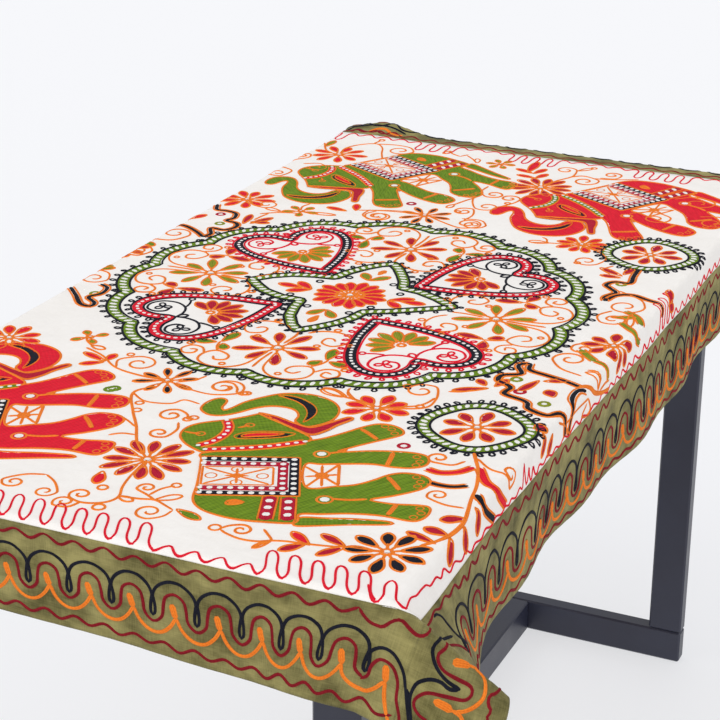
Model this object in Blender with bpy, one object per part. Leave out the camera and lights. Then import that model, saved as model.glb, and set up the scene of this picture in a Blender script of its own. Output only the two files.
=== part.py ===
"""Embroidered wall hanging draped over a small table.

The hanging is an oblong ground panel with a border strip sewn along each side. It lies on
a table with a steel base, and its edges fall over the table's four sides. Every cloth piece
follows one drape: a flat top, a bend at each table edge, hanging skirts with soft waves, and
an ear of cloth at each corner.

Frame: metres, +Z up, origin on the floor under the middle of the table, +Y along the table.
"""
import math

import bmesh
import bpy
from mathutils import Vector

GAP = 0.0003

# Table top
TOP_HALF_X = 0.329
TOP_HALF_Y = 0.673
TOP_HEIGHT = 0.750
TOP_THICK = 0.025
TOP_EDGE_ROUND = 0.007
TOP_ROUND_SEGMENTS = 3

# Base of rectangular steel tube: two frames across the table and one stretcher on the floor
TUBE_WIDE = 0.050
TUBE_DEEP = 0.025
TUBE_EDGE = 0.0025
FRAME_Y = 0.5875
FRAME_HALF_X = 0.270

# Cloth, cut flat
GROUND_X = 0.760
GROUND_Y = 1.320
BORDER = 0.110
CLOTH_THICK = 0.0016
GROUND_CENTRE_X = -0.014
GROUND_CENTRE_Y = -0.019

# Where the cloth starts to bend over the table's edges, and the radius of that bend
BEND_RADIUS = 0.007
SKIRT_CLEARANCE = 0.0032
BEND_X = TOP_HALF_X + SKIRT_CLEARANCE + CLOTH_THICK / 2 - BEND_RADIUS
BEND_Y = TOP_HALF_Y + SKIRT_CLEARANCE + CLOTH_THICK / 2 - BEND_RADIUS
CLOTH_LEVEL = TOP_HEIGHT + GAP + CLOTH_THICK / 2
NORMAL_STEP = 0.0005

# How far each skirt hangs out of plumb, in degrees, and two waves along it, each with its
# height in degrees, length in metres and start in turns
SKIRT_COLUMNS = ("lean", "wave_a", "length_a", "start_a", "wave_b", "length_b", "start_b")
SKIRTS = {
    "near": (-1.0, 0.9, 0.31, 0.10, 0.7, 0.17, 0.40),
    "far": (6.0, 2.5, 0.29, 0.30, 1.5, 0.16, 0.00),
    "left": (4.0, 2.8, 0.30, 0.00, 1.6, 0.18, 0.25),
    "right": (-1.2, 2.2, 0.62, 0.09, 1.3, 0.19, 0.04),
}

# The near strip is cut narrower around one place: its position, the share lost and its reach
NARROW_X = -0.02
NARROW_SHARE = 0.13
NARROW_REACH = 0.19

# The ear of cloth at a corner, for rays of the flat cloth counted in degrees from the near or
# far skirt to the side skirt: the level parts of the ray's direction, out from the near or far
# side and out from the left or right side, and the radius of its bend off the table
PLAIN_EAR = (
    (0, 0.06, 0.00, 0.008),
    (24, 0.08, 0.40, 0.014),
    (45, 0.06, 0.68, 0.020),
    (60, -0.08, 0.72, 0.022),
    (75, -0.20, 0.55, 0.018),
    (90, -0.16, 0.30, 0.012),
)
TURNED_EAR = (
    (0, 0.03, -0.22, 0.008),
    (25, 0.05, 0.17, 0.012),
    (45, 0.00, 0.40, 0.018),
    (60, -0.20, 0.50, 0.020),
    (75, -0.42, 0.54, 0.020),
    (90, -0.38, 0.40, 0.012),
)
LIFTED_EAR = (
    (0, 0.80, 0.00, 0.030),
    (25, 0.85, 0.38, 0.030),
    (45, 0.66, 0.60, 0.026),
    (65, 0.33, 0.62, 0.020),
    (90, 0.05, 0.30, 0.012),
)

# Each corner's ear, and how far along the end skirt and the side skirt it reaches
CORNERS = {
    ("near", "left"): (PLAIN_EAR, 0.060, 0.060),
    ("near", "right"): (TURNED_EAR, 0.100, 0.120),
    ("far", "left"): (LIFTED_EAR, 0.070, 0.060),
    ("far", "right"): (PLAIN_EAR, 0.060, 0.060),
}

# Places where the cloth stands off the table: centre on the flat cloth, reach along X and Y,
# and height
LIFT_COLUMNS = ("x", "y", "reach_x", "reach_y", "height")
LIFTS = (
    (-0.268, 0.690, 0.048, 0.034, 0.016),
)

# Runs of mesh cells across the flat cloth: start, end and number of cells
SIDE_CELLS = 8
X_RUNS = (
    (GROUND_CENTRE_X - GROUND_X / 2, -0.337, 5),
    (-0.337, -0.326, 3),
    (-0.326, -0.206, 6),
    (-0.206, 0.246, 7),
    (0.246, 0.326, 4),
    (0.326, 0.337, 3),
    (0.337, GROUND_CENTRE_X + GROUND_X / 2, 4),
)
Y_RUNS = (
    (GROUND_CENTRE_Y - GROUND_Y / 2, -0.670, 2),
    (-0.670, -0.570, 5),
    (-0.570, 0.550, 24),
    (0.550, GROUND_CENTRE_Y + GROUND_Y / 2, 5),
)
FAR_RUNS = (
    (GROUND_CENTRE_Y + GROUND_Y / 2, 0.670, 2),
    (0.670, 0.681, 3),
    (0.681, GROUND_CENTRE_Y + GROUND_Y / 2 + BORDER, 5),
)
NEAR_RUNS = (
    (GROUND_CENTRE_Y - GROUND_Y / 2 - BORDER, -0.682, 8),
    (-0.682, GROUND_CENTRE_Y - GROUND_Y / 2, 1),
)


def clear_scene():
    for thing in list(bpy.data.objects):
        bpy.data.objects.remove(thing, do_unlink=True)


def finish(name, colour, roughness, metallic=0.0):
    material = bpy.data.materials.new(name)
    material.use_nodes = True
    shader = material.node_tree.nodes["Principled BSDF"]
    shader.inputs["Base Color"].default_value = (*colour, 1.0)
    shader.inputs["Roughness"].default_value = roughness
    shader.inputs["Metallic"].default_value = metallic
    return material


def bar(name, low, high, material, edge=TUBE_EDGE, segments=1):
    """A box between two corners, with its edges rounded by a Bevel modifier."""
    mesh = bpy.data.meshes.new(name)
    body = bmesh.new()
    bmesh.ops.create_cube(body, size=1.0)
    size = Vector(high) - Vector(low)
    bmesh.ops.scale(body, vec=size, verts=body.verts)
    body.to_mesh(mesh)
    body.free()
    thing = bpy.data.objects.new(name, mesh)
    thing.location = (Vector(low) + Vector(high)) / 2
    bpy.context.collection.objects.link(thing)
    bevel = thing.modifiers.new("edges", "BEVEL")
    bevel.width = edge
    bevel.segments = segments
    mesh.materials.append(material)
    return thing


def table(board_finish, steel_finish):
    under_top = TOP_HEIGHT - TOP_THICK
    bar("table_top", (-TOP_HALF_X, -TOP_HALF_Y, under_top), (TOP_HALF_X, TOP_HALF_Y, TOP_HEIGHT),
        board_finish, TOP_EDGE_ROUND, TOP_ROUND_SEGMENTS)
    rail_high = under_top - GAP
    rail_low = rail_high - TUBE_WIDE
    for end, side_y in (("near", -1), ("far", 1)):
        y_low = side_y * FRAME_Y - TUBE_DEEP / 2
        y_high = side_y * FRAME_Y + TUBE_DEEP / 2
        bar(f"foot_bar_{end}", (-FRAME_HALF_X, y_low, 0), (FRAME_HALF_X, y_high, TUBE_WIDE),
            steel_finish)
        bar(f"top_bar_{end}", (-FRAME_HALF_X, y_low, rail_low), (FRAME_HALF_X, y_high, rail_high),
            steel_finish)
        for side, side_x in (("left", -1), ("right", 1)):
            x_mid = side_x * (FRAME_HALF_X - TUBE_WIDE / 2)
            bar(f"upright_{end}_{side}", (x_mid - TUBE_WIDE / 2, y_low, TUBE_WIDE + GAP),
                (x_mid + TUBE_WIDE / 2, y_high, rail_low - GAP), steel_finish)
    stretcher_y = FRAME_Y - TUBE_DEEP / 2 - GAP
    bar("floor_stretcher", (-TUBE_WIDE / 2, -stretcher_y, 0),
        (TUBE_WIDE / 2, stretcher_y, TUBE_WIDE), steel_finish)


def unit_fall(out_end, out_side, end_sign, side_sign):
    """A unit direction from its two level parts, pointing down."""
    down = math.sqrt(max(0.0, 1.0 - out_end ** 2 - out_side ** 2))
    return Vector((side_sign * out_side, end_sign * out_end, -down))


def spline_row(table_rows, ray):
    """The row of an ear table at a ray between its rows, on a Catmull-Rom curve."""
    last = len(table_rows) - 1
    k = max(i for i in range(last) if table_rows[i][0] <= ray)
    before = table_rows[max(k - 1, 0)]
    start, end = table_rows[k], table_rows[k + 1]
    after = table_rows[min(k + 2, last)]
    span = end[0] - start[0]
    f = (ray - start[0]) / span
    mixed = []
    for column in range(1, len(start)):
        slope_in = (end[column] - before[column]) / (end[0] - before[0]) * span
        slope_out = (after[column] - start[column]) / (after[0] - start[0]) * span
        mixed.append((2 * f ** 3 - 3 * f ** 2 + 1) * start[column] + (f ** 3 - 2 * f ** 2 + f) * slope_in
                     + (3 * f ** 2 - 2 * f ** 3) * end[column] + (f ** 3 - f ** 2) * slope_out)
    return mixed


def plumb_fall(skirt, along):
    """How far out a skirt hangs at a place along its edge, as the level part of a unit direction."""
    row = dict(zip(SKIRT_COLUMNS, SKIRTS[skirt]))
    wave_a = row["wave_a"] * math.sin(2 * math.pi * (along / row["length_a"] + row["start_a"]))
    wave_b = row["wave_b"] * math.sin(2 * math.pi * (along / row["length_b"] + row["start_b"]))
    return math.sin(math.radians(row["lean"] + wave_a + wave_b))


def skirt_fall(skirt, along, is_end):
    """Direction and bend radius of a skirt, which turns into the ears near its corners.

    The direction's two level parts point out from the end (near or far) and from the side.
    """
    out = plumb_fall(skirt, along)
    parts = [out, 0.0, BEND_RADIUS] if is_end else [0.0, out, BEND_RADIUS]
    half_length = BEND_X if is_end else BEND_Y
    neighbours = ("left", "right") if is_end else ("near", "far")
    for sign, neighbour in zip((-1, 1), neighbours):
        corner = (skirt, neighbour) if is_end else (neighbour, skirt)
        ear, end_reach, side_reach = CORNERS[corner]
        row = ear[0] if is_end else ear[-1]
        reach = end_reach if is_end else side_reach
        share = math.exp(-((half_length - sign * along) / reach) ** 2)
        parts = [part + (value - part) * share for part, value in zip(parts, row[1:])]
    return parts


def bent(start, heading, fall, radius, length):
    """A point at a length along cloth that leaves level, bends at a radius, then runs straight."""
    turn = heading.angle(fall)
    across = (fall - fall.dot(heading) * heading).normalized()
    swept = min(length / radius, turn)
    point = start + radius * math.sin(swept) * heading + radius * (1 - math.cos(swept)) * across
    return point + max(0.0, length - radius * turn) * fall


def hung(start, heading, parts, signs, length):
    """A point at a length along one line of hanging cloth."""
    out_end, out_side, radius = parts
    return bent(start, heading, unit_fall(out_end, out_side, *signs), radius, length)


def cut_line(x, y):
    """Y on the flat cloth as cut, where the near strip is a little narrower than its grid."""
    seam = GROUND_CENTRE_Y - GROUND_Y / 2
    if y >= seam:
        return y
    share = NARROW_SHARE * math.exp(-((x - NARROW_X) / NARROW_REACH) ** 2)
    return seam + (y - seam) * (1 - share)


def drape(x, y):
    """The middle of the cloth's thickness, for a point of the flat cloth."""
    y = cut_line(x, y)
    signs = (1 if y > 0 else -1, 1 if x > 0 else -1)
    past_end = max(0.0, abs(y) - BEND_Y)
    past_side = max(0.0, abs(x) - BEND_X)
    end = "far" if y > 0 else "near"
    side = "right" if x > 0 else "left"
    point = Vector((signs[1] * min(abs(x), BEND_X), signs[0] * min(abs(y), BEND_Y), CLOTH_LEVEL))
    heading = Vector((signs[1] * past_side, signs[0] * past_end, 0)).normalized()
    if past_end and past_side:
        ray = math.degrees(math.atan2(past_side, past_end))
        point = hung(point, heading, spline_row(CORNERS[(end, side)][0], ray), signs,
                     math.hypot(past_end, past_side))
    elif past_end:
        point = hung(point, heading, skirt_fall(end, x, True), signs, past_end)
    elif past_side:
        point = hung(point, heading, skirt_fall(side, y, False), signs, past_side)
    for values in LIFTS:
        row = dict(zip(LIFT_COLUMNS, values))
        spread = ((x - row["x"]) / row["reach_x"]) ** 2 + ((y - row["y"]) / row["reach_y"]) ** 2
        point = point + Vector((0, 0, row["height"] * math.exp(-spread)))
    return point


def face_normal(x, y):
    """Unit normal of the draped cloth, pointing to its embroidered face."""
    along_x = drape(x + NORMAL_STEP, y) - drape(x - NORMAL_STEP, y)
    along_y = drape(x, y + NORMAL_STEP) - drape(x, y - NORMAL_STEP)
    return along_x.cross(along_y).normalized()


def stations(runs):
    """Cell borders along one direction of the flat cloth."""
    places = [runs[0][0]]
    for start, end, cells in runs:
        places += [start + (end - start) * (i + 1) / cells for i in range(cells)]
    return places


def seam_shift(index, count, sewn_low, sewn_high):
    """Half a seam's gap, inwards, for a station on a sewn edge, and nothing for the rest."""
    if index == 0:
        return sewn_low * GAP / 2
    if index == count - 1:
        return -sewn_high * GAP / 2
    return 0.0


def shorter_split(ring):
    """0 if a four-point face splits on its first diagonal, 1 if the second one is shorter."""
    first = (ring[0].co - ring[2].co).length
    second = (ring[1].co - ring[3].co).length
    return 0 if first <= second else 1


def two_triangles(body, ring, split, flipped=False):
    """Fill four points with two triangles on the chosen diagonal."""
    turned = ring[split:] + ring[:split]
    for triangle in ((turned[0], turned[1], turned[2]), (turned[0], turned[2], turned[3])):
        body.faces.new(triangle[::-1] if flipped else triangle)


def cloth_piece(name, x_places, y_places, sewn_x, sewn_y, material):
    """A closed sheet over a grid of the flat cloth, with the drape applied to both its faces.

    sewn_x and sewn_y say which edges, low and high, stop half a gap short of a seam. Both
    sides of a seam use the seam's own normals, so that their edges stay parallel.
    """
    body = bmesh.new()
    faces = {1: [], -1: []}
    for i, x in enumerate(x_places):
        columns = {1: [], -1: []}
        for j, y in enumerate(y_places):
            normal = face_normal(x, y)
            middle = drape(x + seam_shift(i, len(x_places), *sewn_x),
                           y + seam_shift(j, len(y_places), *sewn_y))
            for side in (1, -1):
                columns[side].append(body.verts.new(middle + side * CLOTH_THICK / 2 * normal))
        for side in (1, -1):
            faces[side].append(columns[side])
    upper, lower = faces[1], faces[-1]
    last_x, last_y = len(x_places) - 1, len(y_places) - 1
    for i in range(last_x):
        for j in range(last_y):
            corners = ((i, j), (i + 1, j), (i + 1, j + 1), (i, j + 1))
            split = shorter_split([upper[m][n] for m, n in corners])
            two_triangles(body, [upper[m][n] for m, n in corners], split)
            two_triangles(body, [lower[m][n] for m, n in corners], split, flipped=True)
    rim = [(i, 0) for i in range(last_x)] + [(last_x, j) for j in range(last_y)]
    rim += [(i, last_y) for i in range(last_x, 0, -1)] + [(0, j) for j in range(last_y, 0, -1)]
    for k, (i, j) in enumerate(rim):
        m, n = rim[(k + 1) % len(rim)]
        ring = [lower[i][j], lower[m][n], upper[m][n], upper[i][j]]
        two_triangles(body, ring, shorter_split(ring))
    mesh = bpy.data.meshes.new(name)
    body.to_mesh(mesh)
    body.free()
    mesh.shade_smooth()
    mesh.materials.append(material)
    bpy.context.collection.objects.link(bpy.data.objects.new(name, mesh))


def hanging(ground_finish, border_finish):
    ground_x = stations(X_RUNS)
    ground_y = stations(Y_RUNS)
    near_y = stations(NEAR_RUNS)
    far_y = stations(FAR_RUNS)
    whole_y = near_y[:-1] + ground_y + far_y[1:]
    left_x = stations(((ground_x[0] - BORDER, ground_x[0], SIDE_CELLS),))
    right_x = stations(((ground_x[-1], ground_x[-1] + BORDER, SIDE_CELLS),))
    cloth_piece("ground_panel", ground_x, ground_y, (1, 1), (1, 1), ground_finish)
    cloth_piece("border_near", ground_x, near_y, (1, 1), (0, 1), border_finish)
    cloth_piece("border_far", ground_x, far_y, (1, 1), (1, 0), border_finish)
    cloth_piece("border_left", left_x, whole_y, (0, 1), (0, 0), border_finish)
    cloth_piece("border_right", right_x, whole_y, (1, 0), (0, 0), border_finish)


def main():
    clear_scene()
    board_finish = finish("board", (0.62, 0.56, 0.48), 0.55)
    steel_finish = finish("steel", (0.035, 0.037, 0.055), 0.45)
    ground_finish = finish("ground_cloth", (0.91, 0.88, 0.83), 0.9)
    border_finish = finish("border_cloth", (0.24, 0.25, 0.09), 0.88)
    table(board_finish, steel_finish)
    hanging(ground_finish, border_finish)


main()
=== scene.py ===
"""Embroidered wall hanging draped over a small table.

The hanging is an off-white ground panel with an olive strip sewn along each side, closely worked
in chain stitch. Flat positions are metres on the cloth laid out flat, which on the table top are
the part's own X and Y. The drape carries them over the table's edges.
"""

import logging
import math
from dataclasses import dataclass, field
from enum import Enum

import bpy
import numpy as np
from mathutils import Matrix, Vector, geometry


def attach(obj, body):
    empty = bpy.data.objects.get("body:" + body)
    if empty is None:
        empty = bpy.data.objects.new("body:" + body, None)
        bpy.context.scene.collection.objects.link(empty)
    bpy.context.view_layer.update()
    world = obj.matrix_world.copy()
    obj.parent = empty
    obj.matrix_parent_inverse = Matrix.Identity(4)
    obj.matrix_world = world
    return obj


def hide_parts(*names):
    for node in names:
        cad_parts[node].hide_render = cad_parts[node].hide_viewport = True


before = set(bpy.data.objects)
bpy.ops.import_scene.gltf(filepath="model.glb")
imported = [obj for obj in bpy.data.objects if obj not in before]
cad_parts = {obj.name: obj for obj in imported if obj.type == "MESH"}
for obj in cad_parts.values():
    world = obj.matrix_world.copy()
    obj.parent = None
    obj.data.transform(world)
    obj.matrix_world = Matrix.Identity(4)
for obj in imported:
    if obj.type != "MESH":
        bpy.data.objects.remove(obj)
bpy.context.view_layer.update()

LOG = logging.getLogger("hanging")
Tree = bpy.types.NodeTree
Socket = bpy.types.NodeSocket
Material = bpy.types.Material
Points = list | tuple | np.ndarray
BODY = "root"

# Table top and cloth, as the part has them
GAP = 0.0003
TOP_HALF_X = 0.329
TOP_HALF_Y = 0.673
TOP_HEIGHT = 0.750
GROUND_X = 0.760
GROUND_Y = 1.320
BORDER = 0.110
CLOTH_THICK = 0.0016
GROUND_CENTRE_X = -0.014
GROUND_CENTRE_Y = -0.019
BEND_RADIUS = 0.007
SKIRT_CLEARANCE = 0.0032
BEND_X = TOP_HALF_X + SKIRT_CLEARANCE + CLOTH_THICK / 2 - BEND_RADIUS
BEND_Y = TOP_HALF_Y + SKIRT_CLEARANCE + CLOTH_THICK / 2 - BEND_RADIUS
CLOTH_LEVEL = TOP_HEIGHT + GAP + CLOTH_THICK / 2
NORMAL_STEP = 0.0005
SEAM_OVERLAP = 0.0008
CURL_TURNS = 1.30
CURL_WIDTH = 0.0030
# Tables of whole numbers are in tenths of a millimetre, but for those laid by a Sheet or an Elephant
TENTHS = 10000.0

SEAM_LEFT = GROUND_CENTRE_X - GROUND_X / 2
SEAM_RIGHT = GROUND_CENTRE_X + GROUND_X / 2
SEAM_NEAR = GROUND_CENTRE_Y - GROUND_Y / 2
SEAM_FAR = GROUND_CENTRE_Y + GROUND_Y / 2


class Thread(Enum):
    """The thread colours of the embroidery."""

    ORANGE = "orange"
    RED = "red"
    CRIMSON = "crimson"
    WINE = "wine"
    GREEN = "green"
    LEAF = "leaf_green"
    BLACK = "black"
    WHITE = "white"


class Edge(Enum):
    """The four edges of the table, each with the sign of its axis."""

    NEAR = ("near", -1)
    FAR = ("far", 1)
    LEFT = ("left", -1)
    RIGHT = ("right", 1)


@dataclass(frozen=True)
class Skirt:
    """A hanging side of the cloth: its lean in degrees and two waves along it."""

    lean: float
    wave_a: float
    length_a: float
    start_a: float
    wave_b: float
    length_b: float
    start_b: float

    def out(self, along: np.ndarray) -> np.ndarray:
        """How far out the skirt hangs, as the level part of a unit direction.

        Args:
            along: places along the edge.

        Returns:
            The level part for each place.
        """
        wave_a = self.wave_a * np.sin(2 * np.pi * (along / self.length_a + self.start_a))
        wave_b = self.wave_b * np.sin(2 * np.pi * (along / self.length_b + self.start_b))
        return np.sin(np.radians(self.lean + wave_a + wave_b))


@dataclass(frozen=True)
class Corner:
    """An ear of cloth: rows of ray, out from the end, out from the side and bend radius."""

    ear: tuple
    end_reach: float
    side_reach: float

    def rows_at(self, rays: np.ndarray) -> np.ndarray:
        """Direction and radius for rays in degrees, on a Catmull-Rom curve through the rows.

        Args:
            rays: degrees from the near or far skirt to the side skirt.

        Returns:
            One row of out from the end, out from the side and radius for each ray.
        """
        rows = np.array(self.ear, float)
        last = len(rows) - 1
        k = np.clip(np.searchsorted(rows[:, 0], rays, side="right") - 1, 0, last - 1)
        before, start, end = rows[np.maximum(k - 1, 0)], rows[k], rows[k + 1]
        after = rows[np.minimum(k + 2, last)]
        span = (end[:, 0] - start[:, 0])[:, None]
        f = (rays[:, None] - start[:, :1]) / span
        slope_in = (end - before)[:, 1:] / (end - before)[:, :1] * span
        slope_out = (after - start)[:, 1:] / (after - start)[:, :1] * span
        return ((2 * f ** 3 - 3 * f ** 2 + 1) * start[:, 1:] + (f ** 3 - 2 * f ** 2 + f) * slope_in
                + (3 * f ** 2 - 2 * f ** 3) * end[:, 1:] + (f ** 3 - f ** 2) * slope_out)


PLAIN_EAR = (
    (0, 0.06, 0.00, 0.008),
    (24, 0.08, 0.40, 0.014),
    (45, 0.06, 0.68, 0.020),
    (60, -0.08, 0.72, 0.022),
    (75, -0.20, 0.55, 0.018),
    (90, -0.16, 0.30, 0.012),
)
TURNED_EAR = (
    (0, 0.03, -0.22, 0.008),
    (25, 0.05, 0.17, 0.012),
    (45, 0.00, 0.40, 0.018),
    (60, -0.20, 0.50, 0.020),
    (75, -0.42, 0.54, 0.020),
    (90, -0.38, 0.40, 0.012),
)
LIFTED_EAR = (
    (0, 0.80, 0.00, 0.030),
    (25, 0.85, 0.38, 0.030),
    (45, 0.66, 0.60, 0.026),
    (65, 0.33, 0.62, 0.020),
    (90, 0.05, 0.30, 0.012),
)


@dataclass(frozen=True)
class Drape:
    """The fall of the cloth: level on the table, bent at its edges, hanging past them."""

    narrow_x: float = -0.02
    narrow_share: float = 0.13
    narrow_reach: float = 0.19
    lift: tuple = (-0.268, 0.690, 0.048, 0.034, 0.016)
    skirts: dict = field(default_factory=lambda: {
        Edge.NEAR: Skirt(-1.0, 0.9, 0.31, 0.10, 0.7, 0.17, 0.40),
        Edge.FAR: Skirt(6.0, 2.5, 0.29, 0.30, 1.5, 0.16, 0.00),
        Edge.LEFT: Skirt(4.0, 2.8, 0.30, 0.00, 1.6, 0.18, 0.25),
        Edge.RIGHT: Skirt(-1.2, 2.2, 0.62, 0.09, 1.3, 0.19, 0.04),
    })
    corners: dict = field(default_factory=lambda: {
        (Edge.NEAR, Edge.LEFT): Corner(PLAIN_EAR, 0.060, 0.060),
        (Edge.NEAR, Edge.RIGHT): Corner(TURNED_EAR, 0.100, 0.120),
        (Edge.FAR, Edge.LEFT): Corner(LIFTED_EAR, 0.070, 0.060),
        (Edge.FAR, Edge.RIGHT): Corner(PLAIN_EAR, 0.060, 0.060),
    })

    def cut_line(self, flat: np.ndarray) -> np.ndarray:
        """Y as cut, where the near strip is a little narrower than its grid.

        Args:
            flat: N rows of flat x and y.

        Returns:
            One y for each row.
        """
        share = self.narrow_share * np.exp(-((flat[:, 0] - self.narrow_x) / self.narrow_reach) ** 2)
        past = np.minimum(flat[:, 1] - SEAM_NEAR, 0.0)
        return flat[:, 1] - past * share

    def skirt_rows(self, skirt: Edge, along: np.ndarray) -> np.ndarray:
        """Direction and bend radius along a skirt, which turns into the ears near its corners.

        Args:
            skirt: the edge that it hangs from.
            along: places along that edge.

        Returns:
            One row of out from the end, out from the side and radius for each place.
        """
        is_end = skirt in (Edge.NEAR, Edge.FAR)
        out = self.skirts[skirt].out(along)
        nothing, radius = np.zeros_like(out), np.full_like(out, BEND_RADIUS)
        rows = np.stack([out, nothing, radius] if is_end else [nothing, out, radius], axis=1)
        half_length = BEND_X if is_end else BEND_Y
        for neighbour in ((Edge.LEFT, Edge.RIGHT) if is_end else (Edge.NEAR, Edge.FAR)):
            corner = self.corners[(skirt, neighbour) if is_end else (neighbour, skirt)]
            ear_row = np.array(corner.ear[0 if is_end else -1][1:])
            reach = corner.end_reach if is_end else corner.side_reach
            share = np.exp(-((half_length - neighbour.value[1] * along) / reach) ** 2)[:, None]
            rows = rows + (ear_row - rows) * share
        return rows

    def points(self, flat: np.ndarray) -> np.ndarray:
        """The middle of the cloth's thickness for flat positions.

        Args:
            flat: N rows of flat x and y.

        Returns:
            N rows of x, y and z.
        """
        x, y = flat[:, 0], self.cut_line(flat)
        sign_x, sign_y = np.where(x > 0, 1.0, -1.0), np.where(y > 0, 1.0, -1.0)
        past_side = np.maximum(0.0, np.abs(x) - BEND_X)
        past_end = np.maximum(0.0, np.abs(y) - BEND_Y)
        length = np.hypot(past_side, past_end)
        rows = np.tile(np.array([0.0, 0.0, 1.0]), (len(x), 1))
        for end in (Edge.NEAR, Edge.FAR):
            at_end = (past_end > 0) & (sign_y == end.value[1])
            only_end = at_end & (past_side == 0)
            rows[only_end] = self.skirt_rows(end, x[only_end])
            for side in (Edge.LEFT, Edge.RIGHT):
                both = at_end & (past_side > 0) & (sign_x == side.value[1])
                rays = np.degrees(np.arctan2(past_side[both], past_end[both]))
                rows[both] = self.corners[(end, side)].rows_at(rays)
        for side in (Edge.LEFT, Edge.RIGHT):
            only_side = (past_side > 0) & (past_end == 0) & (sign_x == side.value[1])
            rows[only_side] = self.skirt_rows(side, y[only_side])
        safe = np.where(length > 0, length, 1.0)
        heading = np.stack([sign_x * past_side / safe, sign_y * past_end / safe, np.zeros_like(x)], axis=1)
        heading[length == 0] = (1.0, 0.0, 0.0)
        down = np.sqrt(np.maximum(0.0, 1.0 - rows[:, 0] ** 2 - rows[:, 1] ** 2))
        fall = np.stack([sign_x * rows[:, 1], sign_y * rows[:, 0], -down], axis=1)
        cosine = np.clip((heading * fall).sum(axis=1), -1.0, 1.0)
        turn = np.arccos(cosine)
        across = fall - cosine[:, None] * heading
        across /= np.linalg.norm(across, axis=1)[:, None]
        radius = rows[:, 2]
        swept = np.minimum(length / radius, turn)
        start = np.stack([sign_x * np.minimum(np.abs(x), BEND_X), sign_y * np.minimum(np.abs(y), BEND_Y),
                          np.full_like(x, CLOTH_LEVEL)], axis=1)
        found = start + (radius * np.sin(swept))[:, None] * heading
        found += (radius * (1 - np.cos(swept)))[:, None] * across
        found += np.maximum(0.0, length - radius * turn)[:, None] * fall
        lift_x, lift_y, reach_x, reach_y, height = self.lift
        found[:, 2] += height * np.exp(-((x - lift_x) / reach_x) ** 2 - ((y - lift_y) / reach_y) ** 2)
        return found

    def normals(self, flat: np.ndarray) -> np.ndarray:
        """Unit normals of the draped cloth, towards its embroidered face.

        Args:
            flat: N rows of flat x and y.

        Returns:
            N rows of x, y and z.
        """
        step_x, step_y = np.array([NORMAL_STEP, 0.0]), np.array([0.0, NORMAL_STEP])
        along_x = self.points(flat + step_x) - self.points(flat - step_x)
        along_y = self.points(flat + step_y) - self.points(flat - step_y)
        normal = np.cross(along_x, along_y)
        return normal / np.linalg.norm(normal, axis=1)[:, None]


def mesh_piece(name: str, points: np.ndarray, faces: list, material: Material,
               uv_name: str = "", uv: np.ndarray | None = None) -> bpy.types.Object:
    """A smooth mesh object on the part's body.

    Args:
        name: the piece's name.
        points: N rows of x, y and z.
        faces: lists of point numbers.
        material: its finish.
        uv_name: the UV map's name.
        uv: N rows of u and v, one for each point.

    Returns:
        The new object.
    """
    mesh = bpy.data.meshes.new(name)
    mesh.from_pydata(points.tolist(), [], faces)
    if uv is not None:
        layer = mesh.uv_layers.new(name=uv_name)
        corner_points = np.empty(len(mesh.loops), dtype=np.int32)
        mesh.loops.foreach_get("vertex_index", corner_points)
        layer.data.foreach_set("uv", uv[corner_points].astype(np.float32).ravel())
    mesh.shade_smooth()
    mesh.materials.append(material)
    piece = bpy.data.objects.new(name, mesh)
    bpy.context.collection.objects.link(piece)
    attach(piece, BODY)
    return piece


def new_material(name: str) -> tuple[Material, Tree, bpy.types.Node]:
    """A material with its node tree and its Principled shader.

    Args:
        name: its name.

    Returns:
        The material, its node tree and its shader node.
    """
    material = bpy.data.materials.new(name)
    material.use_nodes = True
    return material, material.node_tree, material.node_tree.nodes["Principled BSDF"]


def math_node(tree: Tree, operation: str, first: Socket | float, second: Socket | float = 0.0,
              third: Socket | float = 0.0) -> Socket:
    """A Math node fed by sockets or numbers, and its output socket.

    Args:
        tree: the shader's node tree.
        operation: the node's operation.
        first: a socket or number.
        second: a socket or number.
        third: a socket or number.

    Returns:
        The node's output socket.
    """
    node = tree.nodes.new("ShaderNodeMath")
    node.operation = operation
    for place, value in zip(node.inputs, (first, second, third)):
        if isinstance(value, (int, float)):
            place.default_value = value
        else:
            tree.links.new(value, place)
    return node.outputs[0]


def times(tree: Tree, first: Socket | float, second: Socket | float) -> Socket:
    """The product of two values."""
    return math_node(tree, "MULTIPLY", first, second)


def plus(tree: Tree, first: Socket | float, second: Socket | float) -> Socket:
    """The sum of two values."""
    return math_node(tree, "ADD", first, second)


def minus(tree: Tree, first: Socket | float, second: float) -> Socket:
    """A value less another."""
    return math_node(tree, "SUBTRACT", first, second)


def wave(tree: Tree, turns: Socket) -> Socket:
    """The sine of a number of half turns."""
    return math_node(tree, "SINE", times(tree, turns, math.pi))


def noise_node(tree: Tree, vector: Socket, scale: float, detail: float = 2.0) -> Socket:
    """A Noise texture at a scale, and its value socket.

    Args:
        tree: the shader's node tree.
        vector: the socket of the positions.
        scale: its scale.
        detail: its layers of detail.

    Returns:
        The node's output socket.
    """
    node = tree.nodes.new("ShaderNodeTexNoise")
    node.inputs["Scale"].default_value = scale
    node.inputs["Detail"].default_value = detail
    tree.links.new(vector, node.inputs["Vector"])
    return node.outputs["Fac"]


def stretched(tree: Tree, vector: Socket, scale: tuple[float, float, float]) -> Socket:
    """A vector socket scaled along its axes.

    Args:
        tree: the shader's node tree.
        vector: the socket of the positions.
        scale: its scale.

    Returns:
        The node's output socket.
    """
    node = tree.nodes.new("ShaderNodeVectorMath")
    node.operation = "MULTIPLY"
    node.inputs[1].default_value = scale
    tree.links.new(vector, node.inputs[0])
    return node.outputs[0]


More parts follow.
